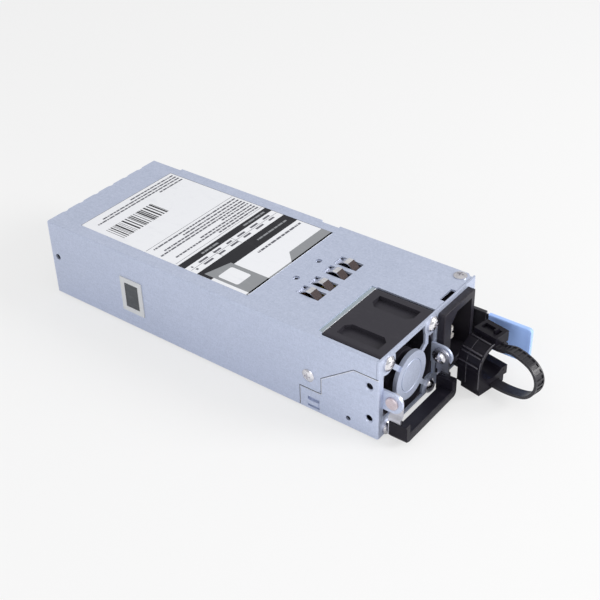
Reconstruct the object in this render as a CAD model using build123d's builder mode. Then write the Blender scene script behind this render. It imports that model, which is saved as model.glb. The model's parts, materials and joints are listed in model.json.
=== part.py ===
from build123d import *
from math import atan2, cos, degrees, radians, sin, sqrt
import os

os.makedirs("parts", exist_ok=True)

# Hot-swap power module. X runs across it (to the right seen from the front), the front plate
# faces -Y, +Z is up. The origin is the middle of the underside of the case. Millimetres.

# case
case_l = 185.0
case_h = 39.0
fan_side = 2.25
fan_inlet_gap = 0.8
lever_room = 5.85
sheet = 1.0
bend_r = 0.8
seam = 0.15
joint_gap = 0.3

# left front flap of the chassis and the cover tab beside it
flap_l = 38.9
flap_step_h = 10.4
flap_tab_y = 28.0
flap_tab_r = 2.2
flap_slope_h = 18.6
flap_slope_y = 12.0
flap_drop = 8.8
side_hole_r = 1.5
side_hole_y = 4.6
side_hole_z = 8.9
side_hole_pitch = 16.2
side_peg_hole_r = 1.15
side_peg_y = 14.5
side_peg_z = 4.3
lance_y = 28.9
lance_l = 5.9
lance_h = 1.5
lance_low_z = 2.05
lance_pitch = 3.6

# cover
cut_l = 28.0
cut_front = 1.2
cut_clear = 0.6
cut_side = 0.3
cut_corner = 1.0
cut_step_w = 2.2
cut_step_drop = 0.35
front_slot_w = 9.3
front_slot_l = 2.6
front_slot_in = 1.0
window_w = 6.2
window_l = 11.7
window_back_y = 49.6
window_pitch = 8.5
pair_pitch = 18.7
dimple_r = 1.5
dimple_pitch = 16.1
dimple_back_y = 61.6
edge_notch_d = 1.3
edge_notch_l = 10.0
edge_notch_back_y = 75.5
rear_notch_l = 18.0
scallop_r = 2.6
scallop_d = 0.6
scallop_pitch = 10.0
corner_cut = 2.4
rear_hole_r = 1.5
rear_hole_y = 3.7
rear_hole_z = 20.6

# screws
screw_head_r = 3.0
screw_head_h = 1.0
screw_r = 1.5
screw_l = 3.4
cross_w = 0.7
cross_l = 3.0
cross_d = 0.6
top_screw_side = 3.75
top_screw_back_y = 5.5
side_screw_back_y = 34.3
side_screw_z = 17.3

# fan and grille
fan_over = 1.0
fan_drop = 0.4
fan_depth = 28.0
fan_hole_edge = 4.0
fan_wall = 1.0
fan_flange = 4.0
fan_edge_r = 2.0
pocket_w = 8.0
pocket_edge = 4.5
pocket_d = 2.0
pocket_corner = 2.4
fan_screw_head_r = 3.3
fan_screw_head_h = 2.2
fan_screw_r = 1.6
fan_screw_l = 7.0
grille_side = 1.0
grille_low = 2.1
grille_corner_r = 1.6
grille_hub_over = 0.7
grille_bar_in = 3.3
grille_pad_r = 5.3
grille_hub_out = 1.0
grille_ring_r = 7.2
grille_ring_d = 0.35
grille_bar_w = 2.3
grille_knee = 8.0

# fan moving group
hub_r = 10.2
hub_l = 20.0
hub_wall = 1.2
hub_front = 2.6
blade_count = 7
blade_clear = 0.7
blade_thick = 1.0
blade_chord = 13.0
blade_root_angle = 40.0
blade_tip_angle = 58.0
shaft_r = 1.0
run_fit = 0.03
bearing_r = 3.0
bearing_l = 3.0
bearing_span = 12.0
tube_r = 4.0
stator_r = 7.6
stator_l = 8.0
pole_count = 4
pole_w = 3.0
magnet_wall = 0.9
stay_w = 2.2
stay_t = 2.5
motor_seat_r = 9.6

# handle
ear_in = 0.8
ear_r = 4.8
ear_reach = 4.4
pivot_r = 1.6
arm_r = 4.0
arm_back = 1.8
arm_t = 1.0
arm_low_out = 1.2
arm_bend_z = 6.3
grip_over = 0.25
grip_t = 3.2
grip_front = 11.6
grip_back = 3.3
grip_low = 1.0
grip_bar_h = 3.9
grip_top = 9.6
grip_bar_back = 5.0
grip_edge_r = 2.6
grip_bevel = 1.6
rivet_head_r = 2.9
rivet_head_h = 0.9
pivot_head_r = 2.7
pivot_head_h = 1.5

# inlet
inlet_w = 24.6
inlet_low = 6.5
inlet_top = 1.9
socket_side = 4.2
socket_end = 3.3
body_side = 1.8
body_end = 1.0
pin_end = 5.0
inlet_out = 3.3
inlet_edge_r = 0.7
socket_x = 1.5
socket_d = 16.8
socket_cut = 4.2
inlet_wall = 1.6
pin_w = 4.0
pin_t = 2.0
pin_offset = 2.0
pin_recess = 5.4
pin_earth_lead = 2.2
pin_tail = 4.0

# release lever
lever_t = 0.6
lever_h = 12.0
lever_z = 15.8
lever_side = 2.35
lever_pin_in = 1.4
lever_slot_in = 3.3
lever_pin_back_y = 46.5
lever_pin_r = 1.0
lever_eye_r = 1.8
lug_t = 1.0
blade_h = 17.0
sleeve_out = 7.4
sleeve_t = 1.8
sleeve_start = 1.0
grip_gap = 1.5
paddle_l = 20.5
paddle_h = 17.4
paddle_t = 2.2
paddle_rim = 1.4
paddle_dish = 0.5
paddle_r = 1.6
tooth_back_y = 6.5
tooth_l = 4.0
tooth_h = 8.0
tooth_out = 1.8
tooth_clear = 0.6

# cord strap and clamp, drawn along their own axis that leaves the plate at a slant
strap_in = 2.9
strap_slant = -11.0
strap_s = 2.0
strap_w = 5.2
strap_t = 1.3
strap_z = 2.6
strap_top_z = 22.0
strap_tail = 12.0
loop_start = 22.4
rung_count = 34
rung_w = 3.8
rung_l = 1.7
rung_d = 0.5
plug_r = 1.1
plug_head_r = 2.3
plug_head_h = 1.0
plug_barb = 0.3
clamp_back = 10.4
clamp_l = 11.6
ring_z = 15.0
ring_r = 9.7
ring_wall = 1.6
ring_open = 11.0
base_w = 18.0
base_h = 2.6
channel_h = 3.9
channel_w = 15.6
channel_clear = 0.35
head_w = 8.4
head_h = 5.0
rib_w = 0.8
rib_h = 0.5
pawl_w = 3.0
pawl_t = 1.2
pawl_l = 7.0
pawl_pin_r = 0.6

# grounding springs
spring_t = 0.3
finger_w = 4.4
finger_rise = 1.4
finger_ridge = 2.3

# board and what stands on it
board_z = 7.8
board_t = 1.6
board_gap = 1.25
board_front_gap = 5.5
board_rear_gap = 0.5
tongue_w = 60.0
tongue_out = 8.0
finger_count = 25
finger_pad_w = 1.4
finger_pad_l = 6.5
pad_t = 0.1
standoff_r = 2.6
board_screw_r = 1.3
board_screw_head_r = 2.4
board_screw_head_h = 1.4
sheet_ins_t = 0.4
bulk_r = 12.4
choke_r = 13.0
choke_bore = 5.0
choke_h = 12.0
filter_r = 9.5
filter_bore = 4.0
filter_h = 10.0
core_l = 27.0
sink_t = 3.0
fin_d = 6.0
fin_t = 1.0
can_r = 4.0
can_h = 12.0
can_gap = 1.6
top_clear = 3.6
sink_drop = 3.0
sink_gap = 0.7
core_gap = 0.9
transistor_t = 4.6
transistor_gap = 1.6
transistor_h = 17.0
winding_in = 6.0
inductor_w = 16.0
inductor_l = 14.0
inductor_drop = 4.0
relay_w = 13.0
relay_l = 18.0
relay_h = 15.4
film_w = 16.0
film_l = 8.4
film_pitch = 11.0
film_h = 15.0
fuse_r = 2.6
fuse_l = 20.0
fuse_clip_w = 6.8
chip_h = 6.0
lead_room = 2.6
lead_r = 1.1
chip_t = 2.2

# label and side window
label_w = 60.8
label_t = 0.12
label_front_y = 70.05
label_rear = 16.0
label_r = 0.8
view_w = 13.1
view_h = 18.0
view_back_y = 133.4
view_z = 16.9
view_t = 0.5
pane_w = 8.2
pane_h = 13.0
vent_r = 1.7
vent_pitch = 4.6

# sizes and places that follow
fan_size = case_h + fan_over
case_w = fan_side + fan_size + fan_inlet_gap + inlet_w + lever_room
right = case_w / 2
left = -right
front = -case_l / 2
back = case_l / 2
under_top = case_h - sheet
inside_l = left + sheet
inside_r = right - sheet
inside_f = front + sheet
inside_b = back - sheet
flap_h = case_h - flap_drop
fan_x = left + fan_side + fan_size / 2
fan_z = case_h / 2 - fan_drop
fan_pitch = fan_size - 2 * fan_hole_edge
fan_bore_r = fan_size / 2 - fan_wall
fan_front = inside_f
fan_back = fan_front + fan_depth
fan_mid = (fan_front + fan_back) / 2
pocket_out = fan_size / 2 - pocket_edge
pocket_in = pocket_out - pocket_w
blade_tip_r = fan_bore_r - blade_clear
grille_w = fan_size - 2 * grille_side
grille_h = fan_size - 2 * grille_low
grille_hub_r = hub_r + grille_hub_over
grille_bar_off = fan_pitch / 2 - grille_bar_in
ear_x = fan_size / 2 - ear_in
grip_w = 2 * (ear_x + grip_over)
pivot_y = front - ear_reach
pivot_z = fan_z
inlet_x = right - lever_room - inlet_w / 2
inlet_h = case_h - inlet_low - inlet_top
inlet_z = inlet_low + inlet_h / 2
socket_w = inlet_w - 2 * socket_side
socket_h = inlet_h - 2 * socket_end
inlet_body_w = inlet_w - 2 * body_side
inlet_body_h = inlet_h - 2 * body_end
pin_pitch = socket_h / 2 - pin_end
lever_x = right - lever_side
lever_pin_x = lever_x - lever_pin_in
lever_pin_y = front + lever_pin_back_y
lever_slot_x = lever_x - lever_slot_in
tooth_y = front + tooth_back_y
strap_x = inlet_x + strap_in
cut_w = fan_size + 2 * cut_side
front_slot_x = inlet_x - front_slot_in
window_y = front + window_back_y
dimple_y = front + dimple_back_y
edge_notch_y = front + edge_notch_back_y
top_screw_x = right - top_screw_side
top_screw_y = front + top_screw_back_y
side_screw_y = front + side_screw_back_y
view_y = front + view_back_y
label_l = case_l - label_front_y - label_rear
label_y = front + label_front_y + label_l / 2
board_top = board_z + board_t
board_w = case_w - 2 * (sheet + board_gap)
board_front = fan_back + board_front_gap
board_back = inside_b - board_rear_gap
board_l = board_back - board_front
part_room = under_top - board_top - top_clear

# directions of the cord strap: out of the front plate, and across the band
forward = (sin(radians(strap_slant)), -cos(radians(strap_slant)), 0)
across = (cos(radians(strap_slant)), sin(radians(strap_slant)), 0)
plug_x = strap_x + strap_s * across[0]


def block(x0, x1, y0, y1, z0, z1, mode=Mode.ADD):
    # box between two corners
    with Locations(((x0 + x1) / 2, (y0 + y1) / 2, (z0 + z1) / 2)):
        Box(x1 - x0, y1 - y0, z1 - z0, mode=mode)


def rod_x(x0, x1, y, z, r, mode=Mode.ADD):
    # round bar along X
    with Locations(Location(((x0 + x1) / 2, y, z), (0, 90, 0))):
        Cylinder(r, x1 - x0, mode=mode)


def rod_y(y0, y1, x, z, r, mode=Mode.ADD):
    # round bar along Y
    with Locations(Location((x, (y0 + y1) / 2, z), (90, 0, 0))):
        Cylinder(r, y1 - y0, mode=mode)


def rod_z(z0, z1, x, y, r, mode=Mode.ADD):
    # round bar along Z
    with Locations((x, y, (z0 + z1) / 2)):
        Cylinder(r, z1 - z0, mode=mode)


def screw(head_r, head_h, shank_r, shank_l):
    # pan-head screw with a cross recess, its seat at the origin and its head towards +Z
    with BuildSketch(Plane.XZ) as half:
        with BuildLine():
            Line((0, -shank_l), (shank_r, -shank_l))
            Line((shank_r, -shank_l), (shank_r, 0))
            Line((shank_r, 0), (head_r, 0))
            Line((head_r, 0), (head_r, head_h * 0.35))
            ThreePointArc((head_r, head_h * 0.35), (head_r * 0.6, head_h * 0.86), (0, head_h))
            Line((0, head_h), (0, -shank_l))
        make_face()
    revolve(half.sketch, axis=Axis.Z)
    with Locations((0, 0, head_h)):
        Box(cross_l, cross_w, 2 * cross_d, mode=Mode.SUBTRACT)
        Box(cross_w, cross_l, 2 * cross_d, mode=Mode.SUBTRACT)


def flap_outline(grow):
    # outline of the left front flap in the plane of the left side
    with BuildSketch(Plane.YZ.offset(left)) as outline:
        with BuildLine():
            Polyline(
                (front, 0),
                (front + flap_l, 0),
                (front + flap_l, flap_step_h),
                (front + flap_tab_y, flap_step_h),
                (front + flap_tab_y, flap_slope_h),
                (front + flap_slope_y, flap_h),
                (front, flap_h),
                close=True,
            )
        make_face()
        fillet(vertices().sort_by_distance((front + flap_tab_y, flap_step_h, 0))[0], flap_tab_r)
        if grow > 0:
            offset(amount=grow)
    return outline.sketch


window_places = [
    (pair * pair_pitch / 2 + side * window_pitch / 2, window_y)
    for pair in (-1, 1)
    for side in (-1, 1)
]
dimple_places = [(side * dimple_pitch / 2, dimple_y) for side in (-1, 1)]
fan_corners = [
    (fan_x + i * fan_pitch / 2, fan_z + k * fan_pitch / 2) for i in (-1, 1) for k in (-1, 1)
]
side_holes = [(side_hole_y, side_hole_z), (side_hole_y, side_hole_z + side_hole_pitch)]

# top cover: top sheet and left wall in one bend
with BuildPart() as top_cover:
    block(left, right, inside_f + seam, back, under_top, case_h)
    block(left, inside_l, inside_f + seam, back, 0, case_h)
    bend = edges().filter_by(Axis.Y).group_by(Axis.X)[0].sort_by(Axis.Z)[-1]
    fillet(bend, bend_r)
    # the chassis flap takes the lower front corner of the wall
    extrude(flap_outline(seam), amount=sheet, mode=Mode.SUBTRACT)
    # the fan comes through the top sheet
    with BuildSketch(Plane.XY.offset(under_top)):
        with Locations((fan_x, front + cut_front + cut_l / 2)):
            Rectangle(cut_w, cut_l + cut_clear)
        rear_corners = vertices().group_by(Axis.Y)[-1]
        chamfer(rear_corners.sort_by(Axis.X)[0], cut_corner)
        chamfer(vertices().group_by(Axis.Y)[-1].sort_by(Axis.X)[-1], cut_corner / 2)
        with Locations((fan_x, front)):
            Rectangle(cut_w, 2 * cut_front + 1)
    extrude(amount=sheet, mode=Mode.SUBTRACT)
    # shallow step pressed along the rear edge of the cut-out
    step_y = front + cut_front + cut_l + cut_clear / 2
    block(fan_x - cut_w / 2 + 1.6, fan_x + cut_w / 2 - 0.4, step_y, step_y + cut_step_w,
          case_h - cut_step_drop, case_h, Mode.SUBTRACT)
    block(front_slot_x - front_slot_w / 2, front_slot_x + front_slot_w / 2, inside_f,
          inside_f + front_slot_l, under_top, case_h, Mode.SUBTRACT)
    with BuildSketch(Plane.XY.offset(under_top)):
        with Locations(*window_places):
            Rectangle(window_w, window_l)
        with Locations(*dimple_places):
            Circle(dimple_r)
    extrude(amount=sheet, mode=Mode.SUBTRACT)
    # notches on the right edge and scallops on the rear edge
    block(right - edge_notch_d, right, edge_notch_y - edge_notch_l / 2,
          edge_notch_y + edge_notch_l / 2, under_top, case_h, Mode.SUBTRACT)
    block(right - edge_notch_d, right, back - rear_notch_l, back, under_top, case_h, Mode.SUBTRACT)
    with Locations((0, back + scallop_r - scallop_d, case_h - sheet / 2)):
        with GridLocations(scallop_pitch, 1, 6, 1):
            Cylinder(scallop_r, sheet, mode=Mode.SUBTRACT)
    nose = edges().filter_by(Axis.Z).group_by(Axis.Y)[0].sort_by(Axis.X)[-1]
    chamfer(nose, corner_cut)
    # screw holes, the rear hole and the opening behind the side window
    rod_z(under_top, case_h, top_screw_x, top_screw_y, screw_r, Mode.SUBTRACT)
    rod_x(left, inside_l, side_screw_y, side_screw_z, screw_r, Mode.SUBTRACT)
    rod_x(left, inside_l, back - rear_hole_y, rear_hole_z, rear_hole_r, Mode.SUBTRACT)
    block(left, inside_l, view_y - pane_w / 2, view_y + pane_w / 2, view_z - pane_h / 2,
          view_z + pane_h / 2, Mode.SUBTRACT)

# chassis: floor, right wall, front plate, rear wall and left front flap
with BuildPart() as chassis:
    floor_left = inside_l + seam
    block(floor_left, right, front, back, 0, sheet)
    block(inside_r, right, front, back, 0, under_top - seam)
    block(left, right, front, inside_f, 0, case_h)
    block(floor_left, right, inside_b, back, 0, under_top - seam)
    extrude(flap_outline(0), amount=sheet)
    block(left, floor_left, front, front + flap_l, 0, sheet)
    # plate behind the cover tab, for the side screw
    block(inside_l + seam, inside_l + seam + sheet, front + flap_tab_y - 5, front + flap_l - 1,
          sheet, flap_slope_h + 4)
    block(inside_l, inside_l + seam, front + flap_tab_y - 5, front + flap_l - 1, sheet, flap_step_h)
    # flange under the top cover, for the top screw
    block(top_screw_x - 4.4, inside_r, inside_f, top_screw_y + 6, under_top - seam - sheet,
          under_top - seam)
    outer_bends = edges().filter_by(Axis.Z).group_by(Axis.Y)[0]
    fillet(outer_bends, bend_r)
    # fan grille: opening less hub, corner pads and four spokes
    with BuildSketch(Plane.XZ.offset(-inside_f)):
        with Locations((fan_x, fan_z)):
            RectangleRounded(grille_w, grille_h, grille_corner_r)
            Circle(grille_hub_r, mode=Mode.SUBTRACT)
            for turn in (0, 180):
                with Locations(Location((0, 0, 0), (0, 0, turn))):
                    with Locations(Location((-fan_pitch / 4, fan_pitch / 4, 0), (0, 0, -45))):
                        Rectangle(fan_pitch / sqrt(2), grille_bar_w, mode=Mode.SUBTRACT)
                    with Locations((grille_bar_off, (grille_h / 2 + grille_knee) / 2)):
                        Rectangle(grille_bar_w, grille_h / 2 - grille_knee + 2, mode=Mode.SUBTRACT)
                    knee_l = sqrt(grille_bar_off ** 2 + grille_knee ** 2)
                    knee_turn = degrees(atan2(grille_knee, grille_bar_off))
                    with Locations(Location((grille_bar_off / 2, grille_knee / 2, 0), (0, 0, knee_turn))):
                        Rectangle(knee_l, grille_bar_w, mode=Mode.SUBTRACT)
        with Locations(*fan_corners):
            Circle(grille_pad_r, mode=Mode.SUBTRACT)
    extrude(amount=sheet, mode=Mode.SUBTRACT)
    # raised hub with a shallow ring
    rod_y(front - grille_hub_out, front, fan_x, fan_z, grille_hub_r)
    rod_y(front, inside_f, fan_x, fan_z, grille_hub_r - sheet, Mode.SUBTRACT)
    with Locations(Location((fan_x, front - grille_hub_out, fan_z), (90, 0, 0))):
        Torus(grille_ring_r, grille_ring_d, mode=Mode.SUBTRACT)
    # the two handle ears and the strips of plate that they fold from
    for side in (-1, 1):
        outer = fan_x + side * ear_x
        inner = outer - side * sheet
        lo = min(outer, inner)
        hi = max(outer, inner)
        block(lo, hi, pivot_y, inside_f, pivot_z - ear_r, pivot_z + ear_r)
        block(lo - 1 if side < 0 else lo, hi if side < 0 else hi + 1.2, front, inside_f,
              pivot_z - ear_r, pivot_z + ear_r)
        rod_x(lo, hi, pivot_y, pivot_z, ear_r)
        rod_x(lo, hi, pivot_y, pivot_z, pivot_r, Mode.SUBTRACT)
    # openings of the front plate
    block(inlet_x - inlet_body_w / 2, inlet_x + inlet_body_w / 2, front, inside_f,
          inlet_z - inlet_body_h / 2, inlet_z + inlet_body_h / 2, Mode.SUBTRACT)
    block(lever_slot_x, inside_r - seam, front, inside_f, lever_z - blade_h / 2 - tooth_clear,
          lever_z + blade_h / 2 + tooth_clear, Mode.SUBTRACT)
    for x, z in fan_corners:
        rod_y(front, inside_f, x, z, fan_screw_r, Mode.SUBTRACT)
    rod_y(front, inside_f, plug_x, strap_z, plug_r, Mode.SUBTRACT)
    # floor opening for the fan
    block(fan_x - cut_w / 2, fan_x + cut_w / 2, inside_f, fan_back + cut_clear, 0, sheet,
          Mode.SUBTRACT)
    # holes and lanced slots of the flap
    for y, z in side_holes:
        with Locations(Location((left, front + y, z), (0, 90, 0))):
            Cylinder(side_hole_r, 4 * sheet, mode=Mode.SUBTRACT)
            Cone(side_hole_r + 0.6, side_hole_r, 0.6, mode=Mode.SUBTRACT,
                 align=(Align.CENTER, Align.CENTER, Align.MIN))
    rod_x(left, inside_l, front + side_peg_y, side_peg_z, side_peg_hole_r, Mode.SUBTRACT)
    for k in (0, 1):
        z = lance_low_z + k * lance_pitch
        block(left, inside_l, front + lance_y, front + lance_y + lance_l, z - lance_h / 2,
              z + lance_h / 2, Mode.SUBTRACT)
    block(left - 0.4, left, front + lance_y + 0.4, front + lance_y + lance_l - 0.4,
          lance_low_z + lance_h / 2, lance_low_z + lance_pitch - lance_h / 2)
    rod_x(left, inside_l + 2 * sheet, side_screw_y, side_screw_z, screw_r, Mode.SUBTRACT)
    rod_z(under_top - 2 * sheet, under_top, top_screw_x, top_screw_y, screw_r, Mode.SUBTRACT)
    # slot for the lever tooth, board opening and vents of the rear wall
    block(inside_r, right, tooth_y - tooth_l / 2 - tooth_clear, tooth_y + tooth_l / 2 + tooth_clear,
          lever_z - tooth_h / 2 - tooth_clear, lever_z + tooth_h / 2 + tooth_clear, Mode.SUBTRACT)
    block(-tongue_w / 2 - 0.5, tongue_w / 2 + 0.5, inside_b, back, board_z - 2.5, board_top + 3,
          Mode.SUBTRACT)
    with BuildSketch(Plane.XZ.offset(-back)):
        with Locations((0, (board_top + 3 + under_top) / 2 + 0.4)):
            vent_rows = int((part_room - 2 * vent_r) / (vent_pitch * sqrt(0.75))) + 1
            with HexLocations(vent_pitch / 2, int(tongue_w / vent_pitch) + 1, vent_rows):
                Circle(vent_r)
    extrude(amount=sheet, mode=Mode.SUBTRACT)

# two screws that hold the cover
with BuildPart() as cover_screw_shape:
    screw(screw_head_r, screw_head_h, screw_r, screw_l)
with BuildPart() as cover_screw_top:
    with Locations((top_screw_x, top_screw_y, case_h)):
        add(cover_screw_shape.part)
with BuildPart() as cover_screw_side:
    with Locations(Location((left, side_screw_y, side_screw_z), (0, -90, 0))):
        add(cover_screw_shape.part)

# fan frame: two flanges, a body between them and corner pockets on all four sides
with BuildPart() as fan_frame:
    with Locations((fan_x, fan_mid, fan_z)):
        Box(fan_size, fan_depth, fan_size)
    fillet(edges().filter_by(Axis.Y), fan_edge_r)
    rod_y(fan_front, fan_back, fan_x, fan_z, fan_bore_r, Mode.SUBTRACT)
    for turn in range(4):
        for side in (-1, 1):
            side_plane = Plane(
                origin=(fan_x, fan_mid, fan_z),
                x_dir=(cos(radians(90 * turn)), 0, sin(radians(90 * turn))),
                z_dir=(-sin(radians(90 * turn)), 0, cos(radians(90 * turn))),
            )
            with BuildSketch(side_plane.offset(fan_size / 2)):
                with Locations((side * (pocket_in + pocket_out) / 2, 0)):
                    Rectangle(pocket_out - pocket_in, fan_depth - 2 * fan_flange)
                chamfer(vertices().group_by(Axis.X)[0 if side > 0 else -1], pocket_corner)
            extrude(amount=-pocket_d, mode=Mode.SUBTRACT)
    for x, z in fan_corners:
        rod_y(fan_front, fan_front + fan_screw_l - sheet, x, z, fan_screw_r, Mode.SUBTRACT)
    # motor seat on four stays, with the bearing tube
    rod_y(fan_back - stay_t, fan_back, fan_x, fan_z, motor_seat_r)
    with BuildSketch(Plane.XZ.offset(-fan_back)):
        with Locations((fan_x, fan_z)):
            with PolarLocations((motor_seat_r + fan_bore_r) / 2, 4, 20):
                Rectangle(fan_bore_r - motor_seat_r + 2, stay_w)
    extrude(amount=stay_t)
    tube_front = fan_back - stay_t - bearing_span
    rod_y(tube_front, fan_back - stay_t, fan_x, fan_z, tube_r)
    rod_y(tube_front, fan_back - stay_t, fan_x, fan_z, bearing_r, Mode.SUBTRACT)

# rotor: cup with blades that twist from root to tip
hub_face = fan_front + hub_front
with BuildPart() as fan_rotor:
    for k in range(blade_count):
        heading = 360 / blade_count * k
        out_dir = (cos(radians(heading)), 0, sin(radians(heading)))
        side_dir = (-sin(radians(heading)), 0, cos(radians(heading)))
        with BuildSketch(
            Plane(origin=(fan_x, hub_face + hub_l / 2, fan_z), x_dir=side_dir, z_dir=out_dir)
            .offset(hub_r - hub_wall / 2)
        ):
            Rectangle(blade_thick, blade_chord, rotation=blade_root_angle)
        with BuildSketch(
            Plane(origin=(fan_x, hub_face + hub_l / 2, fan_z), x_dir=side_dir, z_dir=out_dir)
            .offset(blade_tip_r)
        ):
            Rectangle(blade_thick, blade_chord, rotation=blade_tip_angle)
        loft()
    rod_y(hub_face - 1, hub_face + hub_l + 1, fan_x, fan_z, blade_tip_r, Mode.INTERSECT)
    rod_y(hub_face, hub_face + hub_l, fan_x, fan_z, hub_r)
    rod_y(hub_face + hub_wall, hub_face + hub_l, fan_x, fan_z, hub_r - hub_wall, Mode.SUBTRACT)
    rod_y(hub_face + hub_wall, hub_face + hub_wall + 2, fan_x, fan_z, 2 * shaft_r)
    rod_y(hub_face, hub_face + hub_l, fan_x, fan_z, shaft_r, Mode.SUBTRACT)
with BuildPart() as fan_shaft:
    rod_y(hub_face, fan_back - stay_t - joint_gap, fan_x, fan_z, shaft_r)
with BuildPart() as fan_magnet:
    magnet_front = tube_front + 1
    rod_y(magnet_front, magnet_front + stator_l, fan_x, fan_z, hub_r - hub_wall)
    rod_y(magnet_front, magnet_front + stator_l, fan_x, fan_z, hub_r - hub_wall - magnet_wall,
          Mode.SUBTRACT)
with BuildPart() as fan_bearings:
    for y in (tube_front, fan_back - stay_t - bearing_l):
        rod_y(y, y + bearing_l, fan_x, fan_z, bearing_r)
        rod_y(y, y + bearing_l, fan_x, fan_z, shaft_r + run_fit, Mode.SUBTRACT)
with BuildPart() as fan_stator:
    rod_y(magnet_front, magnet_front + stator_l, fan_x, fan_z, stator_r)
    rod_y(magnet_front, magnet_front + stator_l, fan_x, fan_z, tube_r, Mode.SUBTRACT)
    with BuildSketch(Plane.XZ.offset(-magnet_front)):
        with Locations((fan_x, fan_z)):
            with PolarLocations((tube_r + stator_r) / 2 + 0.4, pole_count, 45):
                RectangleRounded(stator_r - tube_r - 1.8, pole_w, 0.6)
    extrude(amount=-stator_l, mode=Mode.SUBTRACT)

with BuildPart() as fan_screw_shape:
    screw(fan_screw_head_r, fan_screw_head_h, fan_screw_r, fan_screw_l)
with BuildPart() as fan_screws:
    for x, z in fan_corners:
        with Locations(Location((x, front, z), (90, 0, 0))):
            add(fan_screw_shape.part)

# handle: steel bracket, moulded grip, rivet and screw
arm_out = ear_x - sheet - joint_gap
with BuildPart() as handle_bracket:
    for side in (-1, 1):
        plane_x = fan_x + side * arm_out
        upper_lo = min(plane_x, plane_x - side * arm_t)
        low_x = plane_x + side * arm_low_out
        low_lo = min(low_x, low_x - side * arm_t)
        elbow = pivot_z - arm_bend_z
        rod_x(upper_lo, upper_lo + arm_t, pivot_y, pivot_z, arm_r)
        block(upper_lo, upper_lo + arm_t, pivot_y - arm_r, pivot_y + arm_back, elbow, pivot_z)
        with BuildSketch(Plane.XZ.offset(-pivot_y - arm_back)):
            with BuildLine():
                Polyline(
                    (upper_lo, elbow + 0.01),
                    (upper_lo + arm_t, elbow + 0.01),
                    (low_lo + arm_t, elbow - arm_low_out),
                    (low_lo, elbow - arm_low_out),
                    close=True,
                )
            make_face()
        extrude(amount=arm_r + arm_back)
        block(low_lo, low_lo + arm_t, pivot_y - arm_r, pivot_y + arm_back, grip_low + 1.4,
              elbow - arm_low_out)
        rod_x(upper_lo, upper_lo + arm_t, pivot_y, pivot_z, pivot_r + run_fit, Mode.SUBTRACT)
    bar_out = arm_out + arm_low_out
    block(fan_x - bar_out, fan_x + bar_out, pivot_y - arm_r, pivot_y - arm_r + 3, grip_low + 1.4,
          grip_low + 1.4 + arm_t)
with BuildPart() as handle_grip:
    with BuildSketch(Plane.XZ.offset(-front + grip_back)):
        with Locations((fan_x, (grip_low + grip_top) / 2)):
            Rectangle(grip_w, grip_top - grip_low)
        fillet(vertices().group_by(Axis.Y)[0], grip_edge_r)
        with Locations((fan_x, grip_top)):
            Rectangle(grip_w - 2 * grip_t, 2 * (grip_top - grip_low - grip_bar_h),
                      mode=Mode.SUBTRACT)
    extrude(amount=grip_front - grip_back)
    block(fan_x - grip_w / 2 + grip_t, fan_x + grip_w / 2 - grip_t, front - grip_bar_back,
          front, grip_low, grip_low + grip_bar_h, Mode.SUBTRACT)
    front_rim = faces().sort_by(Axis.Y)[0].edges()
    chamfer(front_rim, 0.45)
    # bevel along the rear lower corner
    with BuildSketch(Plane.YZ.offset(fan_x - grip_w / 2)):
        with BuildLine():
            Polyline(
                (front - grip_back, grip_low),
                (front - grip_back - grip_bevel, grip_low),
                (front - grip_back, grip_low + grip_bevel),
                close=True,
            )
        make_face()
    extrude(amount=grip_w, mode=Mode.SUBTRACT)
    add(handle_bracket.part, mode=Mode.SUBTRACT)
with BuildPart() as handle_rivet:
    outer = fan_x - ear_x
    rod_x(outer - rivet_head_h, outer, pivot_y, pivot_z, rivet_head_r)
    fillet(edges().group_by(Axis.X)[0], rivet_head_h / 2)
    rod_x(outer, fan_x - arm_out + arm_t + joint_gap, pivot_y, pivot_z, pivot_r)
    rod_x(fan_x - arm_out + arm_t + joint_gap, fan_x - arm_out + arm_t + joint_gap + 0.6, pivot_y,
          pivot_z, pivot_r + 0.8)
with BuildPart() as pivot_screw_shape:
    screw(pivot_head_r, pivot_head_h, pivot_r, arm_t + 2 * joint_gap + sheet + 0.4)
with BuildPart() as handle_screw:
    with Locations(Location((fan_x + arm_out - arm_t - joint_gap, pivot_y, pivot_z), (0, -90, 0))):
        add(pivot_screw_shape.part)

# inlet socket: flange, cavity with two cut corners, rear body
with BuildPart() as inlet_body:
    block(inlet_x - inlet_w / 2, inlet_x + inlet_w / 2, front - inlet_out, front,
          inlet_z - inlet_h / 2, inlet_z + inlet_h / 2)
    fillet(edges().filter_by(Axis.Y), inlet_edge_r)
    fillet(faces().sort_by(Axis.Y)[0].edges(), inlet_edge_r / 2)
    socket_back = front - inlet_out + socket_d
    block(inlet_x - inlet_body_w / 2, inlet_x + inlet_body_w / 2, front, socket_back + inlet_wall,
          inlet_z - inlet_body_h / 2, inlet_z + inlet_body_h / 2)
    with BuildSketch(Plane.XZ.offset(-front + inlet_out)):
        with Locations((inlet_x + socket_x, inlet_z)):
            Rectangle(socket_w, socket_h)
        chamfer(vertices().group_by(Axis.X)[0], socket_cut)
    extrude(amount=-socket_d, mode=Mode.SUBTRACT)
    pin_x = inlet_x + socket_x - pin_offset
    pin_rows = [(pin_x, inlet_z, pin_earth_lead), (pin_x + 2 * pin_offset, inlet_z - pin_pitch, 0),
                (pin_x + 2 * pin_offset, inlet_z + pin_pitch, 0)]
    for x, z, lead in pin_rows:
        block(x - pin_w / 2, x + pin_w / 2, socket_back, socket_back + inlet_wall, z - pin_t / 2,
              z + pin_t / 2, Mode.SUBTRACT)
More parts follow.
